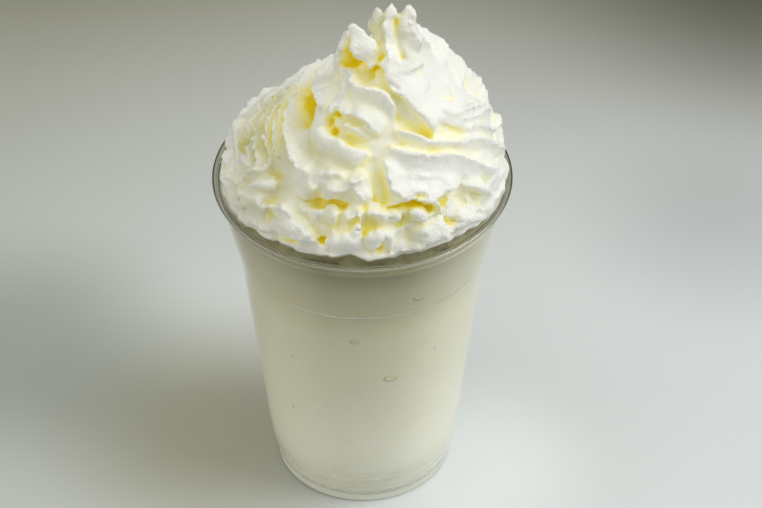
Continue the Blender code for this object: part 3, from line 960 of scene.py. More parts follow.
@dataclass
class Milkshake:
    """The drink, level at the top, with flecks and small bubbles against the wall."""

    cup: Cup
    top: float = 117.0
    into_wall: float = 0.25
    meniscus: float = 0.5
    meniscus_width: float = 1.6
    floor_rings: tuple[float, ...] = (0.5, 14.0)
    top_rings: tuple[float, ...] = (30.0, 15.0, 0.5)
    segments: int = 160
    flecks_dark: tuple[Fleck, ...] = (
        Fleck(228.1, 42.0, 0.7, 1.0, 20), Fleck(307.6, 72.3, 0.6, 0.6), Fleck(262.8, 63.0, 0.6, 0.5),
        Fleck(329.1, 43.6, 0.6, 0.6), Fleck(252.5, 18.0, 0.6, 0.5), Fleck(289.6, 15.1, 0.7, 0.5, 30),
        Fleck(269.1, 94.2, 1.4, 0.45), Fleck(216.6, 104.6, 0.7, 0.9), Fleck(231.9, 68.5, 1.0, 0.4),
        Fleck(230.1, 83.8, 0.6, 0.4),
    )
    flecks_green: tuple[Fleck, ...] = (Fleck(265.7, 83.0, 1.7, 1.1), Fleck(264.9, 9.4, 1.0, 0.7))
    flecks_yellow: tuple[Fleck, ...] = (Fleck(283.8, 64.3, 2.5, 1.6, -2), Fleck(294.5, 102.0, 2.2, 1.5, -15))
    flecks_pale: tuple[Fleck, ...] = (Fleck(263.6, 106.9, 0.5, 1.9, 8), Fleck(274.5, 102.4, 1.0, 1.2))
    fleck_depth: float = 0.05
    fleck_end: float = 1.35
    fleck_rings: int = 5
    fleck_sides: int = 12
    wall_lean: float = 0.11
    hidden_side_flecks: int = 26
    hidden_side_ranges: tuple[tuple[float, float], ...] = ((-25, 195), (12, 110), (0.3, 0.9), (0.3, 0.8), (-40, 40))
    seed: int = 5
    finish: ShakeFinish = ShakeFinish()

    def wall_radius(self, height: float) -> float:
        """The drink's radius at a height."""
        return float(table([(z, r) for r, z in self.cup.inside(self.into_wall)], height))

    def profile(self) -> list[tuple[float, float]]:
        """The section: floor, wall up to the level, a rise of the surface at the wall, then in to the middle."""
        wall = [row for row in self.cup.inside(self.into_wall) if row[1] < self.top]
        edge = self.wall_radius(self.top + self.meniscus)
        rise = [
            (edge - self.meniscus_width * s, self.top + self.meniscus * (1 - s) ** 2) for s in np.linspace(0, 1, 6)
        ]
        floor = [(radius, wall[0][1]) for radius in self.floor_rings]
        return floor + wall + rise + [(radius, self.top) for radius in self.top_rings]

    def fleck_solid(self, fleck: Fleck) -> Solid:
        """A flattened bead against the wall's inside: x = a cos u cos v, z = b cos u sin v, depth = c sin u."""
        turn, tilt = math.radians(fleck.azimuth), math.radians(fleck.turn)
        latitude = np.linspace(-self.fleck_end, self.fleck_end, self.fleck_rings)[:, None]
        round_ = np.linspace(0, 2 * np.pi, self.fleck_sides, endpoint=False)[None, :]
        side = fleck.half_length * np.cos(latitude) * np.cos(round_)
        up = fleck.half_height * np.cos(latitude) * np.sin(round_)
        side, up = side * math.cos(tilt) - up * math.sin(tilt), side * math.sin(tilt) + up * math.cos(tilt)
        depth = self.fleck_depth * np.sin(latitude) + 0 * round_
        across = np.array([-math.sin(turn), math.cos(turn), 0])
        outward = np.array([math.cos(turn), math.sin(turn), 0])
        lean = np.array([self.wall_lean * math.cos(turn), self.wall_lean * math.sin(turn), 1.0])
        centre = outward * self.wall_radius(fleck.height) + np.array([0, 0, fleck.height])
        return Solid.tube(centre + side[..., None] * across + up[..., None] * lean + depth[..., None] * outward)

    def more_flecks(self) -> list[Fleck]:
        """Flecks on the sides that the photo doesn't show, drawn from the seed."""
        draw = np.random.default_rng(self.seed)
        return [
            Fleck(*(float(draw.uniform(low, high)) for low, high in self.hidden_side_ranges))
            for _ in range(self.hidden_side_flecks)
        ]

    def build(self) -> list[bpy.types.Object]:
        """Builds and dresses the drink and its flecks."""
        drink = lathe(self.profile(), self.segments).to_object("drink")
        made = [dress(drink, self.finish.build(), Slot.SHAKE, "milkshake")]
        for name, flecks, colour in (
            ("dark_flecks", self.flecks_dark + tuple(self.more_flecks()), (0.82, 0.81, 0.68)),
            ("green_flecks", self.flecks_green, (0.84, 0.84, 0.62)),
            ("yellow_flecks", self.flecks_yellow, (0.95, 0.90, 0.68)),
            ("pale_bubbles", self.flecks_pale, (1.0, 1.0, 0.95)),
        ):
            obj = Solid.joined([self.fleck_solid(f) for f in flecks]).to_object(name)
            made.append(dress(obj, FleckFinish(name.replace("_", " "), colour).build(), Slot.SHAKE))
        return made


# ---- the whipped cream ----


@dataclass(frozen=True)
class Heap:
    """The heap's smooth surface: a round section whose middle leans to the right."""

    lean: tuple = ((118, 0), (130, 1), (142, 2.5), (150, 4.5), (156, 6.5), (165, 9.5), (172, 10.8), (190, 10))
    radius: tuple = (
        (112, 46.5), (119, 46.5), (124, 47), (130, 47), (142, 43), (150, 37), (156, 31),
        (165, 22), (172, 16.5), (179, 12.5), (186, 6.5), (190.5, 0.5),
    )
    core_inset: tuple = ((110, 0.0), (122, 0.5), (127, 3.5), (134, 8.0), (178, 6.0))
    flat_share: tuple = ((132, 0.0), (142, 0.13), (150, 0.24), (160, 0.28), (170, 0.30), (180, 0.22), (190, 0.0))
    flat_azimuth: float = 150.0
    flat_spread: float = 45.0
    foot: float = 117.4
    core_top: float = 184.0
    core_rings: int = 40
    core_sides: int = 96
    span: float = 1.5

    def reach(self, azimuth: Array | float, height: Array | float) -> Array:
        """The surface's radius: the table's, less a share that grows towards the flatter side at the back left."""
        off = (azimuth - self.flat_azimuth + 180) % 360 - 180
        flatter = table(self.flat_share, height) * np.exp(-((off / self.flat_spread) ** 2))
        return table(self.radius, height) * (1 - flatter)

    def at(self, azimuth: float, height: float) -> tuple[Array, Array]:
        """The surface's point and outward normal at an azimuth in degrees and a height."""
        turn = math.radians(azimuth)
        radius = self.reach(azimuth, height)
        widening = self.reach(azimuth, height + self.span) - self.reach(azimuth, height - self.span)
        outward, upward = unit(np.array([2 * self.span, -widening]))
        point = np.array([table(self.lean, height) + radius * math.cos(turn), radius * math.sin(turn), height])
        return point, np.array([outward * math.cos(turn), outward * math.sin(turn), upward])

    def core(self) -> Solid:
        """The heap's smooth core, under all the ropes."""
        height = np.linspace(self.foot, self.core_top, self.core_rings)[:, None]
        azimuth = np.arange(self.core_sides)[None, :] * 360 / self.core_sides
        radius = np.maximum(self.reach(azimuth, height) - table(self.core_inset, height), 1.0)
        x = table(self.lean, height) + radius * np.cos(np.radians(azimuth))
        grid = np.stack([x, radius * np.sin(np.radians(azimuth)), height + 0 * azimuth], -1)
        return Solid.tube(grid)


@dataclass(frozen=True)
class Rope:
    """A piped rope of star section. Each station is azimuth, height, radius and how far it stands out."""

    stations: tuple
    points: int
    depth: float
    twist: float
    lump: float
    seed: int
    sunk: float = 3.0

    def rows(self, heap: Heap) -> list[tuple]:
        """The stations as positions and radii, each sunk by its radius into the heap."""
        rows = []
        for azimuth, height, radius, lift in self.stations:
            point, normal = heap.at(azimuth, height)
            rows.append((*(point - normal * (radius + self.sunk - lift)), radius))
        return rows

    def solid(self, heap: Heap) -> Solid:
        """The rope's tube."""
        return star_tube(self.rows(heap), self.points, self.depth, self.twist, self.lump, self.seed)


@dataclass(frozen=True)
class Spike:
    """A drawn-up tip. Each station is x, y, height and radius."""

    stations: tuple
    points: int = 5
    depth: float = 0.25
    twist: float = 50.0
    lump: float = 0.08
    seed: int = 21
    flatness: float = 1.0

    def solid(self, heap: Heap) -> Solid:
        """The tip's tube."""
        return star_tube(self.stations, self.points, self.depth, self.twist, self.lump, self.seed, self.flatness)


@dataclass(frozen=True)
class Fold:
    """A raised fold of cream along a crest line on the heap.

    Each station is an azimuth and a height. The two sides are as seen from outside, looking along the line, and each
    has a width and a curve: 1 is hollow, 0 is straight and -1 is rounded like a pillow.
    """

    stations: tuple
    rise: float
    left: tuple[float, float]
    right: tuple[float, float]
    ragged: float
    seed: int
    root: float = 2.0
    root_width: float = 0.8
    end_share: float = 0.22
    end_width: float = 0.45
    least_end: float = 0.05
    step: float = 0.8
    samples: int = 9
    power: float = 2.5
    tear_sizes: tuple[float, ...] = (5.0, 2.2, 8.0)

    def slope(self, curve: float, share: Array) -> Array:
        """A side's height from 1 at the crest to 0 at its foot: straight, mixed with (1 - s)^power or 1 - s^power."""
        bent = (1 - share) ** self.power if curve > 0 else 1 - share**self.power
        return (1 - abs(curve)) * (1 - share) + abs(curve) * bent

    def solid(self, heap: Heap) -> Solid:
        """The ridge: its two sides carried along the crest line, with a root under them and both ends drawn in."""
        rows = [np.concatenate(heap.at(azimuth, height)) for azimuth, height in self.stations]
        count = max(12, int(curve_length(rows) / self.step))
        path = spline(rows, count)
        centres = path[:, :3]
        away, across = path_frames(centres, path[:, 3:])
        along = np.linspace(0, 1, count)
        end = np.clip(np.minimum(along, 1 - along) / self.end_share, 0, 1)
        end = np.maximum(np.sqrt(1 - (1 - end) ** 2), self.least_end)
        first, second, third = (Noise(self.seed + i).at(centres, size) for i, size in enumerate(self.tear_sizes))
        rise = self.rise * end * (1 + self.ragged * (first + 0.6 * second))
        width = (self.end_width + (1 - self.end_width) * end) * (1 + 0.5 * self.ragged * third)
        share = np.linspace(0, 1, self.samples)
        side = np.concatenate([-self.left[0] * share[::-1], self.right[0] * share[1:]])
        crest = np.concatenate([self.slope(self.left[1], share[::-1]), self.slope(self.right[1], share[1:])])
        side = np.concatenate([side, [self.root_width * self.right[0], 0.0, -self.root_width * self.left[0]]])
        crest = np.concatenate([crest, np.zeros(3)])
        root = np.concatenate([np.zeros(2 * self.samples - 1), np.ones(3)])
        sideways = side * width[:, None]
        up = crest * rise[:, None] - root * self.root - self.rise
        grid = centres[:, None] + sideways[..., None] * across[:, None] + up[..., None] * away[:, None]
        return Solid.tube(grid)


@dataclass(frozen=True)
class Groove:
    """A crevice along a line on the heap, or a pit where it has one station, or only a mark of painted light and
    shade where it has no depth.

    The radius is half its width. Yellow makes it yellower, as painted crevice shade, or whiter below 0, as painted
    light, and shade makes it darker, as painted shade.
    """

    stations: tuple
    radius: float
    depth: float
    yellow: float = 0.0
    shade: float = 0.0
    inward_share: float = 0.7
    cut_off: float = 4.0

    def near(self, points: Array, heap: Heap) -> tuple[Array, Array]:
        """How near each point lies to the line: e^(-(distance / radius)^2), where distance inwards counts for less.

        Args:
            points: the skin's vertices.
            heap: the surface that the line lies on.

        Returns:
            One share for each point, and the heap's mean normal along the line.
        """
        rows = np.array([np.concatenate(heap.at(azimuth, height)) for azimuth, height in self.stations])
        path = rows if len(rows) == 1 else spline(rows, max(3, int(curve_length(rows) / (0.5 * self.radius))))
        normal = unit(path[:, 3:].mean(0))
        reach = self.cut_off * (self.radius + 1) + self.depth
        close = (np.abs(points - path[:, :3].mean(0)) < np.ptp(path[:, :3], axis=0) / 2 + reach).all(1)
        away = points[close][:, None] - path[None, :, :3]
        away = away - self.inward_share * (away @ normal)[..., None] * normal
        distance = np.linalg.norm(away, axis=2).min(1)
        share = np.zeros(len(points))
        share[close] = np.exp(-((distance / self.radius) ** 2))
        return share, normal


RING_STEP = 0.9  # between a star tube's rings
SIDES_PER_CREST = 14
CREST_POWER = 0.8
END_ROUNDING = 0.6  # of the mean radius
LUMP_SIZES = (9.0, 4.5)
UP_SHARE = 0.8  # how far a tube's outward side is turned up


def star_tube(
    rows: Rows, points: int, depth: float, twist: float, lump: float, seed: int, flatness: float = 1.0
) -> Solid:
    """A star section carried along a path: r(a) = R (1 - depth |sin(n a / 2)|^0.8), turned by twist on the way.

    Args:
        rows: stations of position and radius.
        points: how many crests the star has.
        depth: how deep its valleys are, as a share of the radius.
        twist: how far it turns from one end to the other, in degrees.
        lump: how uneven it is, as a share of the radius.
        seed: for the unevenness.
        flatness: how thick it is outwards, as a share of its width.

    Returns:
        The closed tube with rounded ends.
    """
    length = curve_length(rows)
    count = max(10, int(length / RING_STEP))
    path = spline(rows, count)
    centres, radius = path[:, :3], path[:, 3]
    away, across = path_frames(centres, unit(centres * (1, 1, 0)) + (0, 0, UP_SHARE))
    away = away * flatness
    around = points * SIDES_PER_CREST
    angle = np.linspace(0, 2 * np.pi, around, endpoint=False)
    share = np.linspace(0, 1, count)[:, None]
    star = 1 - depth * np.abs(np.sin(points * (angle[None, :] + np.radians(twist) * share) / 2)) ** CREST_POWER
    from_end = np.minimum(share[:, 0], 1 - share[:, 0]) * length / (END_ROUNDING * radius.mean())
    rounding = np.sqrt(np.clip(1 - (1 - np.clip(from_end, 0, 1)) ** 2, 0, 1))
    spoke = np.cos(angle)[None, :, None] * away[:, None] + np.sin(angle)[None, :, None] * across[:, None]
    reach = radius[:, None] * star
    places = (centres[:, None] + spoke * reach[..., None]).reshape(-1, 3)
    lumps = layered(places, [(seed + i, size, 0.5**i) for i, size in enumerate(LUMP_SIZES)])
    reach = reach * (1 + lump * lumps.reshape(reach.shape)) * rounding[:, None]
    return Solid.tube(centres[:, None] + spoke * reach[..., None], [centres[0], centres[-1]])


@dataclass
class WhippedCream:
    """The heap of piped cream, fused out of ropes, tips and folds."""

    cup: Cup
    milkshake: Milkshake
    heap: Heap = Heap()
    voxel: float = 0.625
    quick_voxel: float = 1.1
    sink: float = 0.25
    wall_gap: float = 0.25
    outer: float = 48.8
    ring_height: float = 129.5
    ring_wave: float = 1.5
    ring_radius: float = 10.5
    settle: float = 1.0
    # the noises' seeds, sizes and depths
    grit: Rows = ((11, 1.4, 0.11), (12, 3.2, 0.18))
    tears: Rows = ((13, 2.6, 0.8), (15, 1.5, 0.8))
    lobes: Rows = ((19, 7.0, 3.0), (23, 3.5, 1.1))
    edge_waves: Rows = ((31, 7.0, 2.2), (31, 2.8, 0.8))
    sky_noise: Rows = ((37, 2.6, 0.05),)
    shade_noise: Rows = ((41, 6.0, 0.5),)
    lobe_inset: float = 1.1
    lobes_between: tuple[float, float] = (131.0, 143.0)
    crest_full: float = 0.3
    torn_patches: tuple[float, float] = (-0.3, 0.4)
    least_torn: float = 0.35
    # how the sky is read: directions, cell and slack
    sky_grid: tuple[int, float, float] = (96, 1.0, 0.7)
    # caps on the painted yellow crevice shade and the painted shade, and how far crests are spared them
    most_yellow: float = 0.5
    clean_crest: float = 0.7
    shade_share: float = 0.85
    # painted light: the right side, towards the window light, counts as more open, so whiter
    lit_side: float = 0.08
    lit_between: tuple[float, float] = (5.0, 35.0)
    edge_room: tuple = ((116.5, 42.4), (120.5, 42.8), (122, 43.4), (124, 45.4), (126, 47.9), (127, 48.8))
    edge_side: float = 3.0
    edge_end: tuple[float, float] = (2.0, 9.0)  # over the rim, where the foot's own edge gives way to the heap
    # where the cream's foot gets its painted shade, the drink's dark tone in the shaded gap under the rim
    soak_from: float = 122.4
    soak_full: float = 121.4
    soak_sides: tuple[float, float] = (0.97, 0.80)
    finish: CreamFinish = CreamFinish()
    ropes: tuple[Rope, ...] = (
        Rope(((50, 150, 11, 0), (90, 152, 11, 0), (125, 154, 11, 0), (160, 158, 10, -1), (193, 156, 11, -2),
            (208, 153, 12, -2), (225, 150.5, 12, -2), (241, 150, 10, -2), (254, 150, 8, -2), (268, 149, 7, -2.5)), 9,
            0.22, 30, 0.05, 5, sunk=5.5),
        Rope(((276, 151, 7, -0.5), (284, 150, 8.5, 0.5), (309, 146.5, 11, 0.5), (335, 144, 12, 0.5),
            (360, 146, 12.5, 0), (390, 152, 12, 0), (420, 156, 11, 0), (460, 160, 10, 0), (500, 165, 9, 0)), 5, 0.16,
            10, 0.03, 7),
        Rope(((274, 170.5, 6, -1), (294, 167, 8, 0), (310, 162.5, 9.5, 1), (328, 158, 11, 0.5), (346, 157, 11, 0),
            (370, 166, 10, 0), (410, 168, 10, 0), (450, 170, 9, 0), (490, 172, 8, 0)), 5, 0.18, 60, 0.06, 13),
        Rope(((140, 165, 7, -1), (182, 165.5, 6, -1.5), (218, 166, 8, 0.5), (244, 164.5, 8.5, 1), (263, 163, 7.5, 1)),
            6, 0.22, 20, 0.15, 9),
    )
    spikes: tuple[Spike, ...] = (
        Spike(((12, 2, 168, 11), (12, 0, 176, 9.5), (11, -1, 181, 7), (11, -1, 184.5, 4.8), (11, -1, 186, 3)),
            depth=0.3),
        Spike(((9, -2, 183, 3.4), (9.2, -1, 187, 2.2), (9.5, 0, 190.6, 0.6)), points=4),
        Spike(((13.5, -1, 182, 3.4), (14.8, 0, 186, 2.4), (15.4, 1, 188.2, 1.1)), points=4),
        Spike(((4, -8, 172, 4.2), (2.2, -8.5, 176, 4.6), (0, -8, 179.5, 4.2), (-2, -6, 183, 2.4),
            (-3.4, -4.4, 185.8, 0.6)), points=3, depth=0.1, flatness=0.45),
        Spike(((6, 3, 174, 6), (5.4, 2, 180, 5.6), (5.8, 2, 183.5, 4.8), (6.8, 2, 185.6, 2.6)), points=3,
            flatness=0.5),
        Spike(((-4, 3, 163, 8), (-5.0, 3, 169, 6), (-4.8, 2.5, 173, 4.6), (-3.2, 1.5, 178.4, 1.8)), points=3,
            flatness=0.6),
    )
    folds: tuple[Fold, ...] = (
        # the left fan, from the broad white crest outwards
        Fold(((145, 149), (168.5, 151), (187, 152), (201, 151.5), (215, 150.5), (226, 148), (232.5, 146)), 8,
            (4.2, -0.5), (2.6, 1.0), 0.06, 40),
        Fold(((138, 147), (153, 147.5), (171.5, 149), (184.5, 149.5), (194.5, 149), (204, 148), (211.5, 146)), 6,
            (1.9, 0.3), (2.2, 0.6), 0.1, 43),
        Fold(((136, 144), (151.5, 145), (170.5, 147), (184, 147), (193, 147), (202.5, 146), (209.5, 144)), 6,
            (1.9, 0.3), (2.2, 0.6), 0.12, 46),
        Fold(((138, 142), (153, 143.5), (168.5, 144.5), (180, 144), (190.5, 144), (200, 143), (206.5, 141.5)), 6,
            (2.2, 0.3), (2.2, 0.6), 0.12, 49),
        Fold(((140, 138), (154, 140), (166.5, 142), (174.5, 141), (185, 141), (193.5, 140), (200, 139)), 6,
            (2.6, 0.2), (2.6, 0.6), 0.15, 52),
        Fold(((150, 134), (161, 135), (167, 134), (176, 134), (186.5, 134.5)), 5, (3.5, 0.1), (3, 0.6), 0.2, 55),
        Fold(((208, 132.5), (211.5, 136), (217, 139), (222, 139.5)), 3.5, (3, 0.2), (3, 0.5), 0.15, 58),
        Fold(((204, 125), (214.5, 132), (220.5, 135)), 4, (4, 0), (4, 0.6), 0.3, 61),
        Fold(((203.5, 134), (206.5, 139), (211.5, 142)), 3.5, (2.5, 0.2), (2.5, 0.5), 0.2, 62),
        # the middle: the tongue, the petal and the blob above it
        Fold(((218, 159.5), (226.5, 159), (232.5, 157), (242, 157), (249.5, 156), (258.5, 156), (263.5, 155)), 8,
            (2.5, 1), (10, -0.9), 0.2, 64),
        Fold(((146, 152), (186.5, 159), (203.5, 160), (212.5, 159)), 8, (8, -0.6), (2.4, 1), 0.1, 67),
        Fold(((133, 156), (186.5, 167.5), (214.5, 170), (225.5, 169), (237.5, 169), (247, 169.5), (259, 169),
            (268.5, 167), (273.5, 164), (276, 162)), 8, (4, 1), (8, -0.5), 0.25, 70),
        Fold(((214.5, 160), (222.5, 161), (226, 162), (233.5, 162), (242, 162.5), (251.5, 162), (259, 160.5),
            (264.5, 159)), 6, (8, -0.4), (2.2, 1), 0.25, 73),
        Fold(((236.5, 159.5), (243.5, 160), (250.5, 160), (258, 160)), 4, (2.5, 0), (2.5, 0), 0.2, 76),
        # the right: the upper mass, the narrow band and the broad band
        Fold(((237.5, 174), (245.5, 175), (252.5, 175), (258, 172), (268, 169.5), (278, 168), (288.5, 164.5),
            (296.5, 162), (299, 160.5), (302.5, 158), (308, 156)), 9, (12, -0.8), (3, 1.2), 0.05, 79),
        Fold(((274.5, 161), (282.5, 160), (290.5, 159), (300.5, 156.5), (309.5, 155), (319.5, 153), (331, 151.5)), 6,
            (2.5, 0.8), (3.5, -0.5), 0.05, 82),
        Fold(((268, 156), (270.5, 154.5), (273.5, 152.5), (275, 150), (276.5, 148), (278, 146), (281, 145),
            (285.5, 144), (288.5, 145), (293.5, 143), (299, 142), (304, 142), (308, 142), (314.5, 142), (320.5, 139)),
            10, (13, -0.3), (5, 0.5), 0.12, 85),
        Fold(((273, 157), (282, 155.5), (290.5, 154.5), (299, 153), (308, 152), (316, 150), (324, 146),
            (331.5, 141.5), (343, 135)), 4, (2.5, 0.6), (5, 0.6), 0.1, 88),
        Fold(((317, 153), (329.5, 151), (340, 146.5), (349.5, 139), (357, 131)), 6, (5, 0), (5, 0.6), 0.1, 91),
        Fold(((314, 163), (322, 160), (334.5, 158), (351.5, 154.5), (361, 151)), 3, (5, 0.3), (4, 0.3), 0.2, 94),
        Fold(((322.5, 159), (332.5, 156), (345, 153.5), (357.5, 150.5), (366.5, 145)), 4, (5, 0.3), (3, 0.6), 0.3,
            97),
        Fold(((328.5, 154), (339, 152), (344.5, 148.5), (354, 144)), 3.5, (4, 0.3), (3, 0.6), 0.3, 100),
        # the two folds up the peak
        Fold(((227, 188), (239, 185), (248.5, 182), (258, 178.5), (265, 175.5)), 5, (3, 0.2), (2.5, 0.8), 0.3, 142),
        Fold(((322, 186.5), (324, 185.5), (319.5, 182), (315.5, 178)), 4, (3, 0.2), (2.5, 0.6), 0.3, 145),
        # the ruffles along the foot
        Fold(((223, 148), (231.5, 148), (238, 148), (243.5, 149), (250.5, 150), (254, 149), (259, 148.5),
            (263.5, 150), (266, 150.5)), 5.5, (5, 0.3), (7, 0.2), 0.5, 103),
        Fold(((240, 143.5), (241.5, 145), (243, 147), (246, 146.5), (251.5, 145.5), (256.5, 146), (260, 147),
            (263.5, 145), (266.5, 143)), 5, (5, -0.5), (2.5, 1), 0.4, 106),
        Fold(((228.5, 137), (232, 137), (236.5, 136.5), (240.5, 134), (249, 130), (250.5, 128.5)), 7, (3, 0.8),
            (8, -0.8), 0.15, 109),
        Fold(((255.5, 140.5), (255, 138), (255, 136), (256, 133), (258.5, 131.5)), 5, (3, 0.8), (4, 0.4), 0.2, 112),
        Fold(((258.5, 140), (260.5, 138.5), (263, 139), (265.5, 140), (266.5, 139), (266, 136), (265.5, 134),
            (264, 132)), 4.5, (3, 0.5), (3, 0.5), 0.3, 115),
        Fold(((267, 140.5), (271, 140.5), (275.5, 140), (280, 140), (284, 140)), 5, (2, 0.8), (6.5, -0.3), 0.1, 118),
        Fold(((278.5, 140.5), (281, 141.5), (284, 142.5), (286.5, 143), (289.5, 143.5), (293, 142), (297, 141.5),
            (300.5, 139), (301.5, 136), (300, 134)), 6.5, (3, 0.5), (2.5, 0.8), 0.1, 121),
        Fold(((285.5, 139), (289.5, 139), (293, 136.5), (296, 134.5)), 4, (2.5, 0.5), (4, 0.2), 0.05, 124),
        Fold(((274, 132), (275, 133), (277.5, 133.5), (279.5, 132), (280, 130), (279, 126), (277.5, 125)), 5,
            (3, 0.5), (2.2, 0.8), 0.1, 127),
        Fold(((293, 134.5), (294, 131), (295, 127.5)), 4, (3, 0.5), (4, 0.3), 0.3, 130),
        Fold(((317, 140), (322, 138), (329, 132.5), (332.5, 127), (330, 126), (324.5, 128)), 5, (4, 0.2), (3, 0.8),
            0.3, 133),
        Fold(((317, 137), (318.5, 134), (321.5, 130.5), (327.5, 126)), 4, (3, 0.4), (3, 0.6), 0.3, 136),
        Fold(((306.5, 133), (313.5, 131), (318.5, 129), (324, 126)), 4, (3, 0.4), (4, 0.4), 0.4, 139),
    )
    # crevices and pits; their yellow is painted crevice shade, and their shade painted shade
    grooves: tuple[Groove, ...] = (
        Groove(((149.5, 150), (170.5, 154), (187, 155.5), (197.5, 155)), 3.0, 6, 0.45),
        # between the ridges of the fan
        Groove(((150, 148.3), (170, 150), (186, 150.8), (198, 150.3), (209.5, 149.3), (218, 147)), 0.9, 2.4, 0, 0.4),
        Groove(((152, 146.3), (171, 148), (184.3, 148.3), (194, 148), (203.3, 147), (210.5, 145)), 0.8, 2.2, 0, 0.4),
        Groove(((152, 144.2), (169.5, 145.8), (182, 145.5), (192, 145.5), (201.3, 144.5), (208, 142.8)), 0.8, 2.2, 0,
            0.4),
        Groove(((153.5, 141.8), (167.5, 143.2), (177, 142.5), (188, 142.5), (197, 141.5), (203, 140.2)), 0.9, 2.2, 0,
            0.4),
        Groove(((158, 138), (168, 138), (178, 137.6), (189, 137.2)), 1.2, 2.2, 0, 0.4),
        Groove(((208.5, 156), (215.5, 154), (223, 152.5), (228, 151.5)), 1.2, 2),
        Groove(((225.5, 161.5),), 1.1, 3.5, 0.30),
        Groove(((225, 165.5), (235.5, 164)), 1.0, 1.2, 0.15),
        Groove(((222, 159.5), (226.5, 158.5), (230.5, 158)), 1.5, 4.5, 0.25),
        Groove(((235, 158), (240.5, 159), (244.5, 160.5)), 0.8, 1.5, 0.15),
        Groove(((252, 160), (256, 159.5)), 0.9, 1.8, 0.25),
        Groove(((247, 157), (254, 157), (260.5, 156)), 1.2, 1.5, 0.05, 0.5),
        Groove(((195, 171), (206.5, 172.5), (225.5, 175), (237.5, 178)), 1.4, 3, 0.15),
        Groove(((217, 173), (228, 171.5)), 1.6, 4, 0.2),
        Groove(((279, 187), (277, 184.5), (278, 181), (281.5, 178.5)), 1.2, 3.2, 0.22),
        Groove(((264, 171), (271.5, 170)), 0.8, 1.2),
        Groove(((279.5, 163.5), (285.5, 162), (293.5, 160), (300, 158)), 1.6, 4),
        Groove(((278, 158), (282.5, 157), (289, 156), (296.5, 155), (304, 154), (313, 153)), 1.0, 1.2),
        Groove(((266, 153.5), (269.5, 151), (272, 149), (274, 146.5), (275, 143.5)), 1.4, 4, 0.05),
        Groove(((277, 145.5), (280, 144.5)), 1.2, 2.5),
        Groove(((291, 144), (293.5, 143.5)), 1.0, 2.5),
        Groove(((279.5, 140.5), (284, 141), (288.5, 141.5), (292.5, 141)), 1.4, 5, 0.15),
        Groove(((304, 138.5), (305, 141)), 1.3, 4, 0.2),
        Groove(((308, 141),), 1.3, 1.5),
        Groove(((305, 132), (309, 131.5)), 1.0, 3, 0.1),
        Groove(((240.5, 141), (243, 142.5), (243, 140)), 1.4, 5, 0.2),
        Groove(((245, 144.5), (246, 146)), 0.8, 2, 0.1),
        Groove(((240.5, 146),), 1.0, 1.5),
        Groove(((255.5, 143), (259, 142.5)), 0.9, 3, 0.1),
        Groove(((267, 142),), 1.0, 3.5, 0.1),
        Groove(((252, 129),), 1.2, 4.5, 0.3),
        Groove(((275.8, 131), (275.8, 128)), 1.0, 4, 0.3),
        Groove(((216, 142),), 1.6, 1.8, 0.3),
        Groove(((216.5, 137),), 2.0, 1.2, 0.05, 0.3),
        Groove(((223.5, 136.5), (222, 135)), 1.2, 3, 0.25),
        Groove(((226, 132), (225.5, 130)), 1.2, 1.8, 0.25),
        Groove(((235, 138.5), (241.5, 135), (246, 133), (251, 131)), 1.3, 1.6, 0.12, 0.6),
        Groove(((313.5, 139.5), (316, 135)), 2.5, 1.5),
        Groove(((244.5, 137.5), (250.5, 135), (252, 133)), 4, 2, 0, 0.3),
        Groove(((270, 137),), 4, 1.5, 0, 0.4),
        Groove(((286.5, 134),), 5, 1.5, 0, 0.4),
    )
    # marks of painted light and shade with no depth: painted shade, painted yellow shade, and painted light where
    # yellow is below 0
    stains: tuple[Groove, ...] = (
        Groove(((160, 143), (178, 142), (193, 143), (204, 142), (210, 139)), 9, 0, -0.24, 0.95),
        Groove(((197, 154), (208, 151), (215, 148)), 5, 0, -0.14, 0.55),
        Groove(((187, 152), (202.5, 152), (216.5, 151.5)), 2.2, 0, -0.16),
        Groove(((183, 155.5), (191, 157), (199, 157.5)), 2.4, 0, 0.16, 0.4),
        Groove(((231, 153), (238, 152), (244.5, 151.5)), 4.0, 0, 0.02, 0.35),
        Groove(((202.5, 132), (215, 135), (225, 137.5), (224.5, 133)), 7, 0, 0, 0.6),
        Groove(((240, 140.5), (248.5, 140), (256.5, 143)), 5, 0, 0, 0.4),
        Groove(((181, 138.5),), 2.6, 0, 0.25, 0.4),
        Groove(((199, 142), (205, 141)), 1.6, 0, 0.15, 0.2),
        Groove(((240, 161), (255, 163)), 7, 0, 0, 0.35),
        Groove(((225, 153), (240, 151), (255, 150)), 7, 0, 0, 0.35),
        Groove(((290, 164), (300, 160)), 4, 0, -0.08),
        Groove(((284, 184), (286, 180), (290, 177)), 2.6, 0, 0, 0.6),
        Groove(((247, 143), (250, 144)), 2.0, 0, -0.25),
        Groove(((235, 162), (242.5, 162), (248, 162)), 1.6, 0, -0.22),
        Groove(((260.5, 169), (268.5, 167)), 3, 0, -0.25),
        Groove(((165, 183), (190, 185)), 5, 0, 0, 0.9),
        Groove(((269.5, 151), (272, 149), (274, 146.5), (276, 143.5)), 1.2, 1.2, 0.34, 0.5),
        Groove(((284.5, 137), (287.5, 133), (291, 129)), 3.5, 0, 0.03, 0.6),
        Groove(((269.5, 139), (271.5, 135)), 3, 0, 0, 0.6),
        Groove(((249.5, 137), (253.5, 134)), 3.5, 0, 0.03, 0.35),
        Groove(((238, 129), (243, 129.5)), 2.2, 0, 0.03, 0.2),
        Groove(((214, 156), (226, 153), (241, 152), (251.5, 153)), 3.0, 0, 0.03, 0.5),
        Groove(((313.5, 143), (315.5, 138), (319.5, 134)), 3.0, 0, 0, 0.5),
    )
    back_crests: tuple[tuple[float, int], ...] = ((135, -4), (142, 3), (148, -5), (154, 2), (161, -3), (168, 4))
    back_from: int = 2
    back_to: int = 165
    back_step: int = 18
    back_rise: float = 4.0
    back_wave: float = 1.2
    back_seed: int = 190

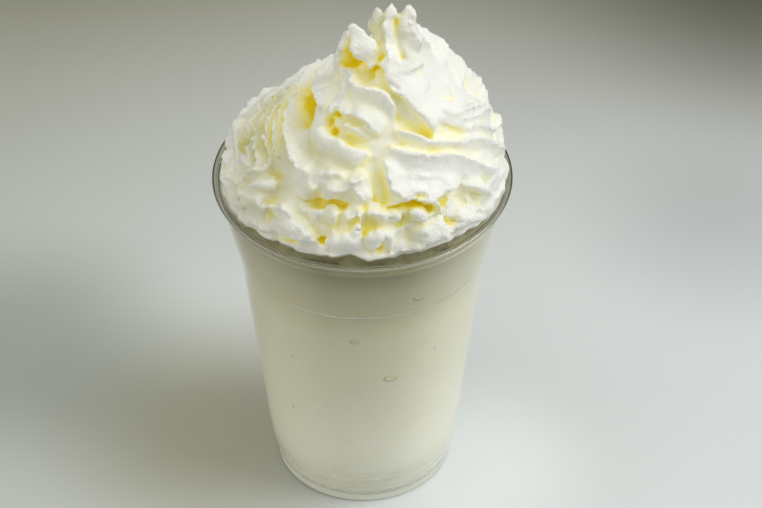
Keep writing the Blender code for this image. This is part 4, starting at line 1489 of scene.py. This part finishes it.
    def back_folds(self) -> list[Fold]:
        """The long crests round the back, each climbing and waving a little."""
        return [
            Fold(
                tuple(
                    (a, height + self.back_rise * (a - self.back_from) / self.back_to
                     + self.back_wave * math.sin(a / 20 + i))
                    for a in range(self.back_from + shift, self.back_to + shift, self.back_step)
                ),
                5.5, (4.5, -0.3), (3.5, 0.8), 0.15, self.back_seed + 3 * i,
            )
            for i, (height, shift) in enumerate(self.back_crests)
        ]

    def ring(self) -> Rope:
        """The lowest rope, all the way round on the drink, rising and falling twice."""
        return Rope(
            tuple(
                (a, self.ring_height + self.ring_wave * math.sin(math.radians(2 * a + 40)), self.ring_radius, -0.3)
                for a in range(100, 461, 18)
            ),
            7, 0.22, 300, 0.10, 3, sunk=0.0,
        )

    def fused(self) -> bpy.types.Object:
        """One closed skin round all the shapes, by a voxel remesh of their union."""
        parts = (self.ring(), *self.ropes, *self.spikes, *self.folds, *self.back_folds())
        obj = Solid.joined([self.heap.core(), *(part.solid(self.heap) for part in parts)]).to_object("shapes")
        remesh = obj.modifiers.new("fuse", "REMESH")
        remesh.mode = "VOXEL"
        remesh.voxel_size = self.voxel * MM
        graph = bpy.context.evaluated_depsgraph_get()
        mesh, shapes = bpy.data.meshes.new_from_object(obj.evaluated_get(graph)), obj.data
        fused = Skin(mesh).largest_part().to_object("piped_cream")
        bpy.data.objects.remove(obj)
        for unused in (shapes, mesh):
            bpy.data.meshes.remove(unused)
        return fused

    def carve(self, skin: Skin) -> tuple[Array, Array]:
        """Pushes the crevices and pits in, and gives back each vertex's painted yellow crevice shade and painted
        shade.
        """
        move = np.zeros_like(skin.points)
        yellow, shade = np.zeros((2, len(skin.points)))
        for groove in (*self.grooves, *self.stains):
            share, normal = groove.near(skin.points, self.heap)
            move -= groove.depth * share[:, None] * normal
            yellow += groove.yellow * share
            shade += groove.shade * share
        skin.points += move
        return np.minimum(yellow, self.most_yellow), np.minimum(shade, 1.0)

    def roughen(self, skin: Skin) -> Array:
        """Moves vertices along their normals: fine noise all over, torn crests, and rounded lobes along the foot.

        How torn each place is stays with the mesh, for the finish.

        Returns:
            How much of a crest each vertex is on, from 0 to 1.
        """
        normals = skin.normals()
        crest = ((skin.points - skin.blurred(skin.points, 10, 0.6)) * normals).sum(1)
        crest = np.clip(skin.blurred(crest, 3) / self.crest_full, 0, 1)
        grit, torn = layered(skin.points, self.grit), layered(skin.points, self.tears)
        spread = smooth_step(*self.torn_patches, Noise(17).at(skin.points, 15.0))
        patches = self.least_torn + (1 - self.least_torn) * spread
        low = 1 - smooth_step(*self.lobes_between, skin.points[:, 2])
        lobes = layered(skin.points, self.lobes, folded=True) - self.lobe_inset
        skin.points += normals * (grit + crest * patches * torn + low * lobes)[:, None]
        skin.keep("torn", np.clip(skin.blurred(crest * patches + 0.5 * low * patches, 2), 0, 1))
        skin.write()
        return crest

    def keep_in_room(self, skin: Skin) -> None:
        """Holds the cream just in the drink's top, inside the wall below the rim and within the rim above it.

        Its foot, at the front and the back, is marked for painted shade: the dark tone of the drink in the shaded gap
        under the rim.
        """
        x, y, z = skin.points.T
        radius = np.hypot(x, y)
        inside = [(height, r) for r, height in self.cup.inside()]
        wave = layered(skin.points, self.edge_waves)
        near = 1 - smooth_step(*(self.cup.height + end for end in self.edge_end), z)
        room = table(self.edge_room, z) + near * (wave + self.edge_side * (x / np.maximum(radius, 1e-6)) ** 2)
        room = np.where(z < self.cup.band_top, np.minimum(room, table(inside, z) - self.wall_gap), room)
        room = np.where(z < self.cup.height, np.minimum(room, self.cup.lip_room() - self.wall_gap), room)
        room = np.minimum(room, self.outer)
        shrink = np.minimum(1.0, room / np.maximum(radius, 1e-6))
        skin.points[:, 0] *= shrink
        skin.points[:, 1] *= shrink
        skin.points[:, 2] = np.maximum(z, self.milkshake.top - self.sink)
        skin.write()
        # the foot's painted shade, at the front and the back
        low = smooth_step(0, 1, (self.soak_from - skin.points[:, 2]) / (self.soak_from - self.soak_full))
        front = 1 - smooth_step(self.soak_sides[1], self.soak_sides[0], np.abs(x) / np.maximum(radius, 1e-6))
        skin.keep("soaked", low * front)

    def build(self) -> bpy.types.Object:
        """Builds and dresses the cream."""
        obj = self.fused()
        skin = Skin(obj.data)
        skin.points = skin.blurred(skin.points, 1)
        yellow, shade = self.carve(skin)
        skin.points[:, 2] -= self.settle
        skin.write()
        crest = self.roughen(skin)
        self.keep_in_room(skin)
        # where the painted yellow and shade may fall: less on crests
        off_crest = 1 - self.clean_crest * crest
        sky = skin.blurred(skin.sky_share(*self.sky_grid), 2) + layered(skin.points, self.sky_noise)
        # painted light on the right side, and painted yellow crevice shade in the crevices and pits
        sky += self.lit_side * smooth_step(*self.lit_between, skin.points[:, 0]) - yellow * off_crest
        shade *= off_crest * (self.shade_share + layered(skin.points, self.shade_noise))
        skin.keep("shade", np.clip(shade, 0, 1))
        skin.keep("sky", sky)
        log.info("cream: %d vertices, sky %s", len(skin.points), np.round(np.percentile(sky, [2, 10, 30, 50, 90]), 2))
        obj.data.shade_smooth()
        return dress(obj, self.finish.build(), Slot.CREAM, "whipped_cream")


# ---- the studio ----


@dataclass(frozen=True)
class AreaLight:
    """A square soft light: its place, its side, its strength and its colour."""

    name: str
    place: tuple[float, float, float]
    side: float
    power: float
    colour: Colour = (1.0, 1.0, 1.0)


@dataclass
class Studio:
    """A pale tabletop, soft lights, an even sky and the camera at the photo's angle."""

    focal_pixels: float = 2680.0
    frame_width: float = 762.0
    elevation: float = 40.19
    distance: float = 0.8962
    aim_height: float = 0.0869
    aim_side: float = 0.00607
    sensor: float = 36.0
    floor_side: float = 6.0
    floor_depth: float = 0.02
    sky_low: Colour = (0.16, 0.159, 0.093)
    sky_high: Colour = (0.98, 0.985, 0.893)
    sky_full: float = 0.9
    sky_strength: float = 0.55
    lit_place: tuple[float, float, float] = (0.0, 0.0, 0.12)
    lights: tuple[AreaLight, ...] = (
        AreaLight("window", (0.80, -0.15, 0.75), 0.7, 5.8, (0.97, 0.99, 1.0)),
        AreaLight("fill", (-0.95, -0.25, 0.25), 0.8, 2.7, (1.0, 0.985, 0.92)),
        AreaLight("top", (0.05, -0.05, 1.10), 0.9, 2.6),
        AreaLight("front", (-0.20, -0.95, 0.30), 0.7, 0.7, (1.0, 0.985, 0.92)),
    )

    def floor(self) -> None:
        """The tabletop, with its top at z = 0."""
        half = self.floor_side / 2
        mesh = bpy.data.meshes.new("tabletop")
        corners = [(-half, -half), (half, -half), (half, half), (-half, half)]
        mesh.from_pydata(
            [(x, y, z) for z in (-self.floor_depth, 0.0) for x, y in corners],
            [],
            [(3, 2, 1, 0), (4, 5, 6, 7), (0, 1, 5, 4), (1, 2, 6, 5), (2, 3, 7, 6), (3, 0, 4, 7)],
        )
        obj = bpy.data.objects.new("tabletop", mesh)
        bpy.context.scene.collection.objects.link(obj)
        mesh.materials.append(FloorFinish().build())

    def light(self) -> None:
        """The area lights, all turned to the middle of the cup."""
        for lamp in self.lights:
            data = bpy.data.lights.new(lamp.name, "AREA")
            data.shape = "SQUARE"
            data.size = lamp.side
            data.energy = lamp.power
            data.color = lamp.colour
            obj = bpy.data.objects.new(lamp.name, data)
            bpy.context.scene.collection.objects.link(obj)
            obj.location = lamp.place
            obj.rotation_mode = "QUATERNION"
            obj.rotation_quaternion = (Vector(self.lit_place) - Vector(lamp.place)).to_track_quat("-Z", "Y")

    def sky(self) -> None:
        """The even light from all round, which grows upwards."""
        world = bpy.data.worlds.new("studio")
        world.use_nodes = True
        graph = Graph(world.node_tree)
        way = graph.add("ShaderNodeTexCoord").outputs["Generated"]
        rise = graph.span(graph.add("ShaderNodeSeparateXYZ", Vector=way).outputs["Z"], 0.0, self.sky_full)
        tone = graph.ramp(rise, [(0.0, self.sky_low), (0.75, self.sky_high)])
        graph.fill(world.node_tree.nodes["Background"], Color=tone, Strength=self.sky_strength)
        bpy.context.scene.world = world

    def camera(self) -> None:
        """The camera: a long lens, looking down at the cup."""
        data = bpy.data.cameras.new("camera")
        data.sensor_width = self.sensor
        data.lens = self.focal_pixels / self.frame_width * self.sensor
        data.clip_start = 0.01
        obj = bpy.data.objects.new("camera", data)
        bpy.context.scene.collection.objects.link(obj)
        tilt = math.radians(self.elevation)
        back = Vector((0.0, -math.cos(tilt), math.sin(tilt)))
        obj.location = Vector((0.0, 0.0, self.aim_height)) + back * self.distance
        aim = Vector((self.aim_side, 0.0, self.aim_height))
        obj.rotation_mode = "QUATERNION"
        obj.rotation_quaternion = (aim - obj.location).to_track_quat("-Z", "Y")
        bpy.context.scene.camera = obj

    def build(self) -> None:
        """Sets up the whole studio."""
        self.floor()
        self.light()
        self.sky()
        self.camera()
        bpy.context.scene.view_settings.view_transform = "Standard"


def main() -> None:
    """Builds the cup, the drink, the cream and the studio, and reports each piece."""
    logging.basicConfig(level=logging.INFO, format="%(name)s: %(message)s")
    Studio().build()
    cup = Cup()
    made = [cup.build()]
    milkshake = Milkshake(cup)
    made += milkshake.build()
    made.append(WhippedCream(cup, milkshake).build())
    for obj in made:
        log.info("%s: %d faces", obj.name, len(obj.data.polygons))


if __name__ == "__main__":
    main()
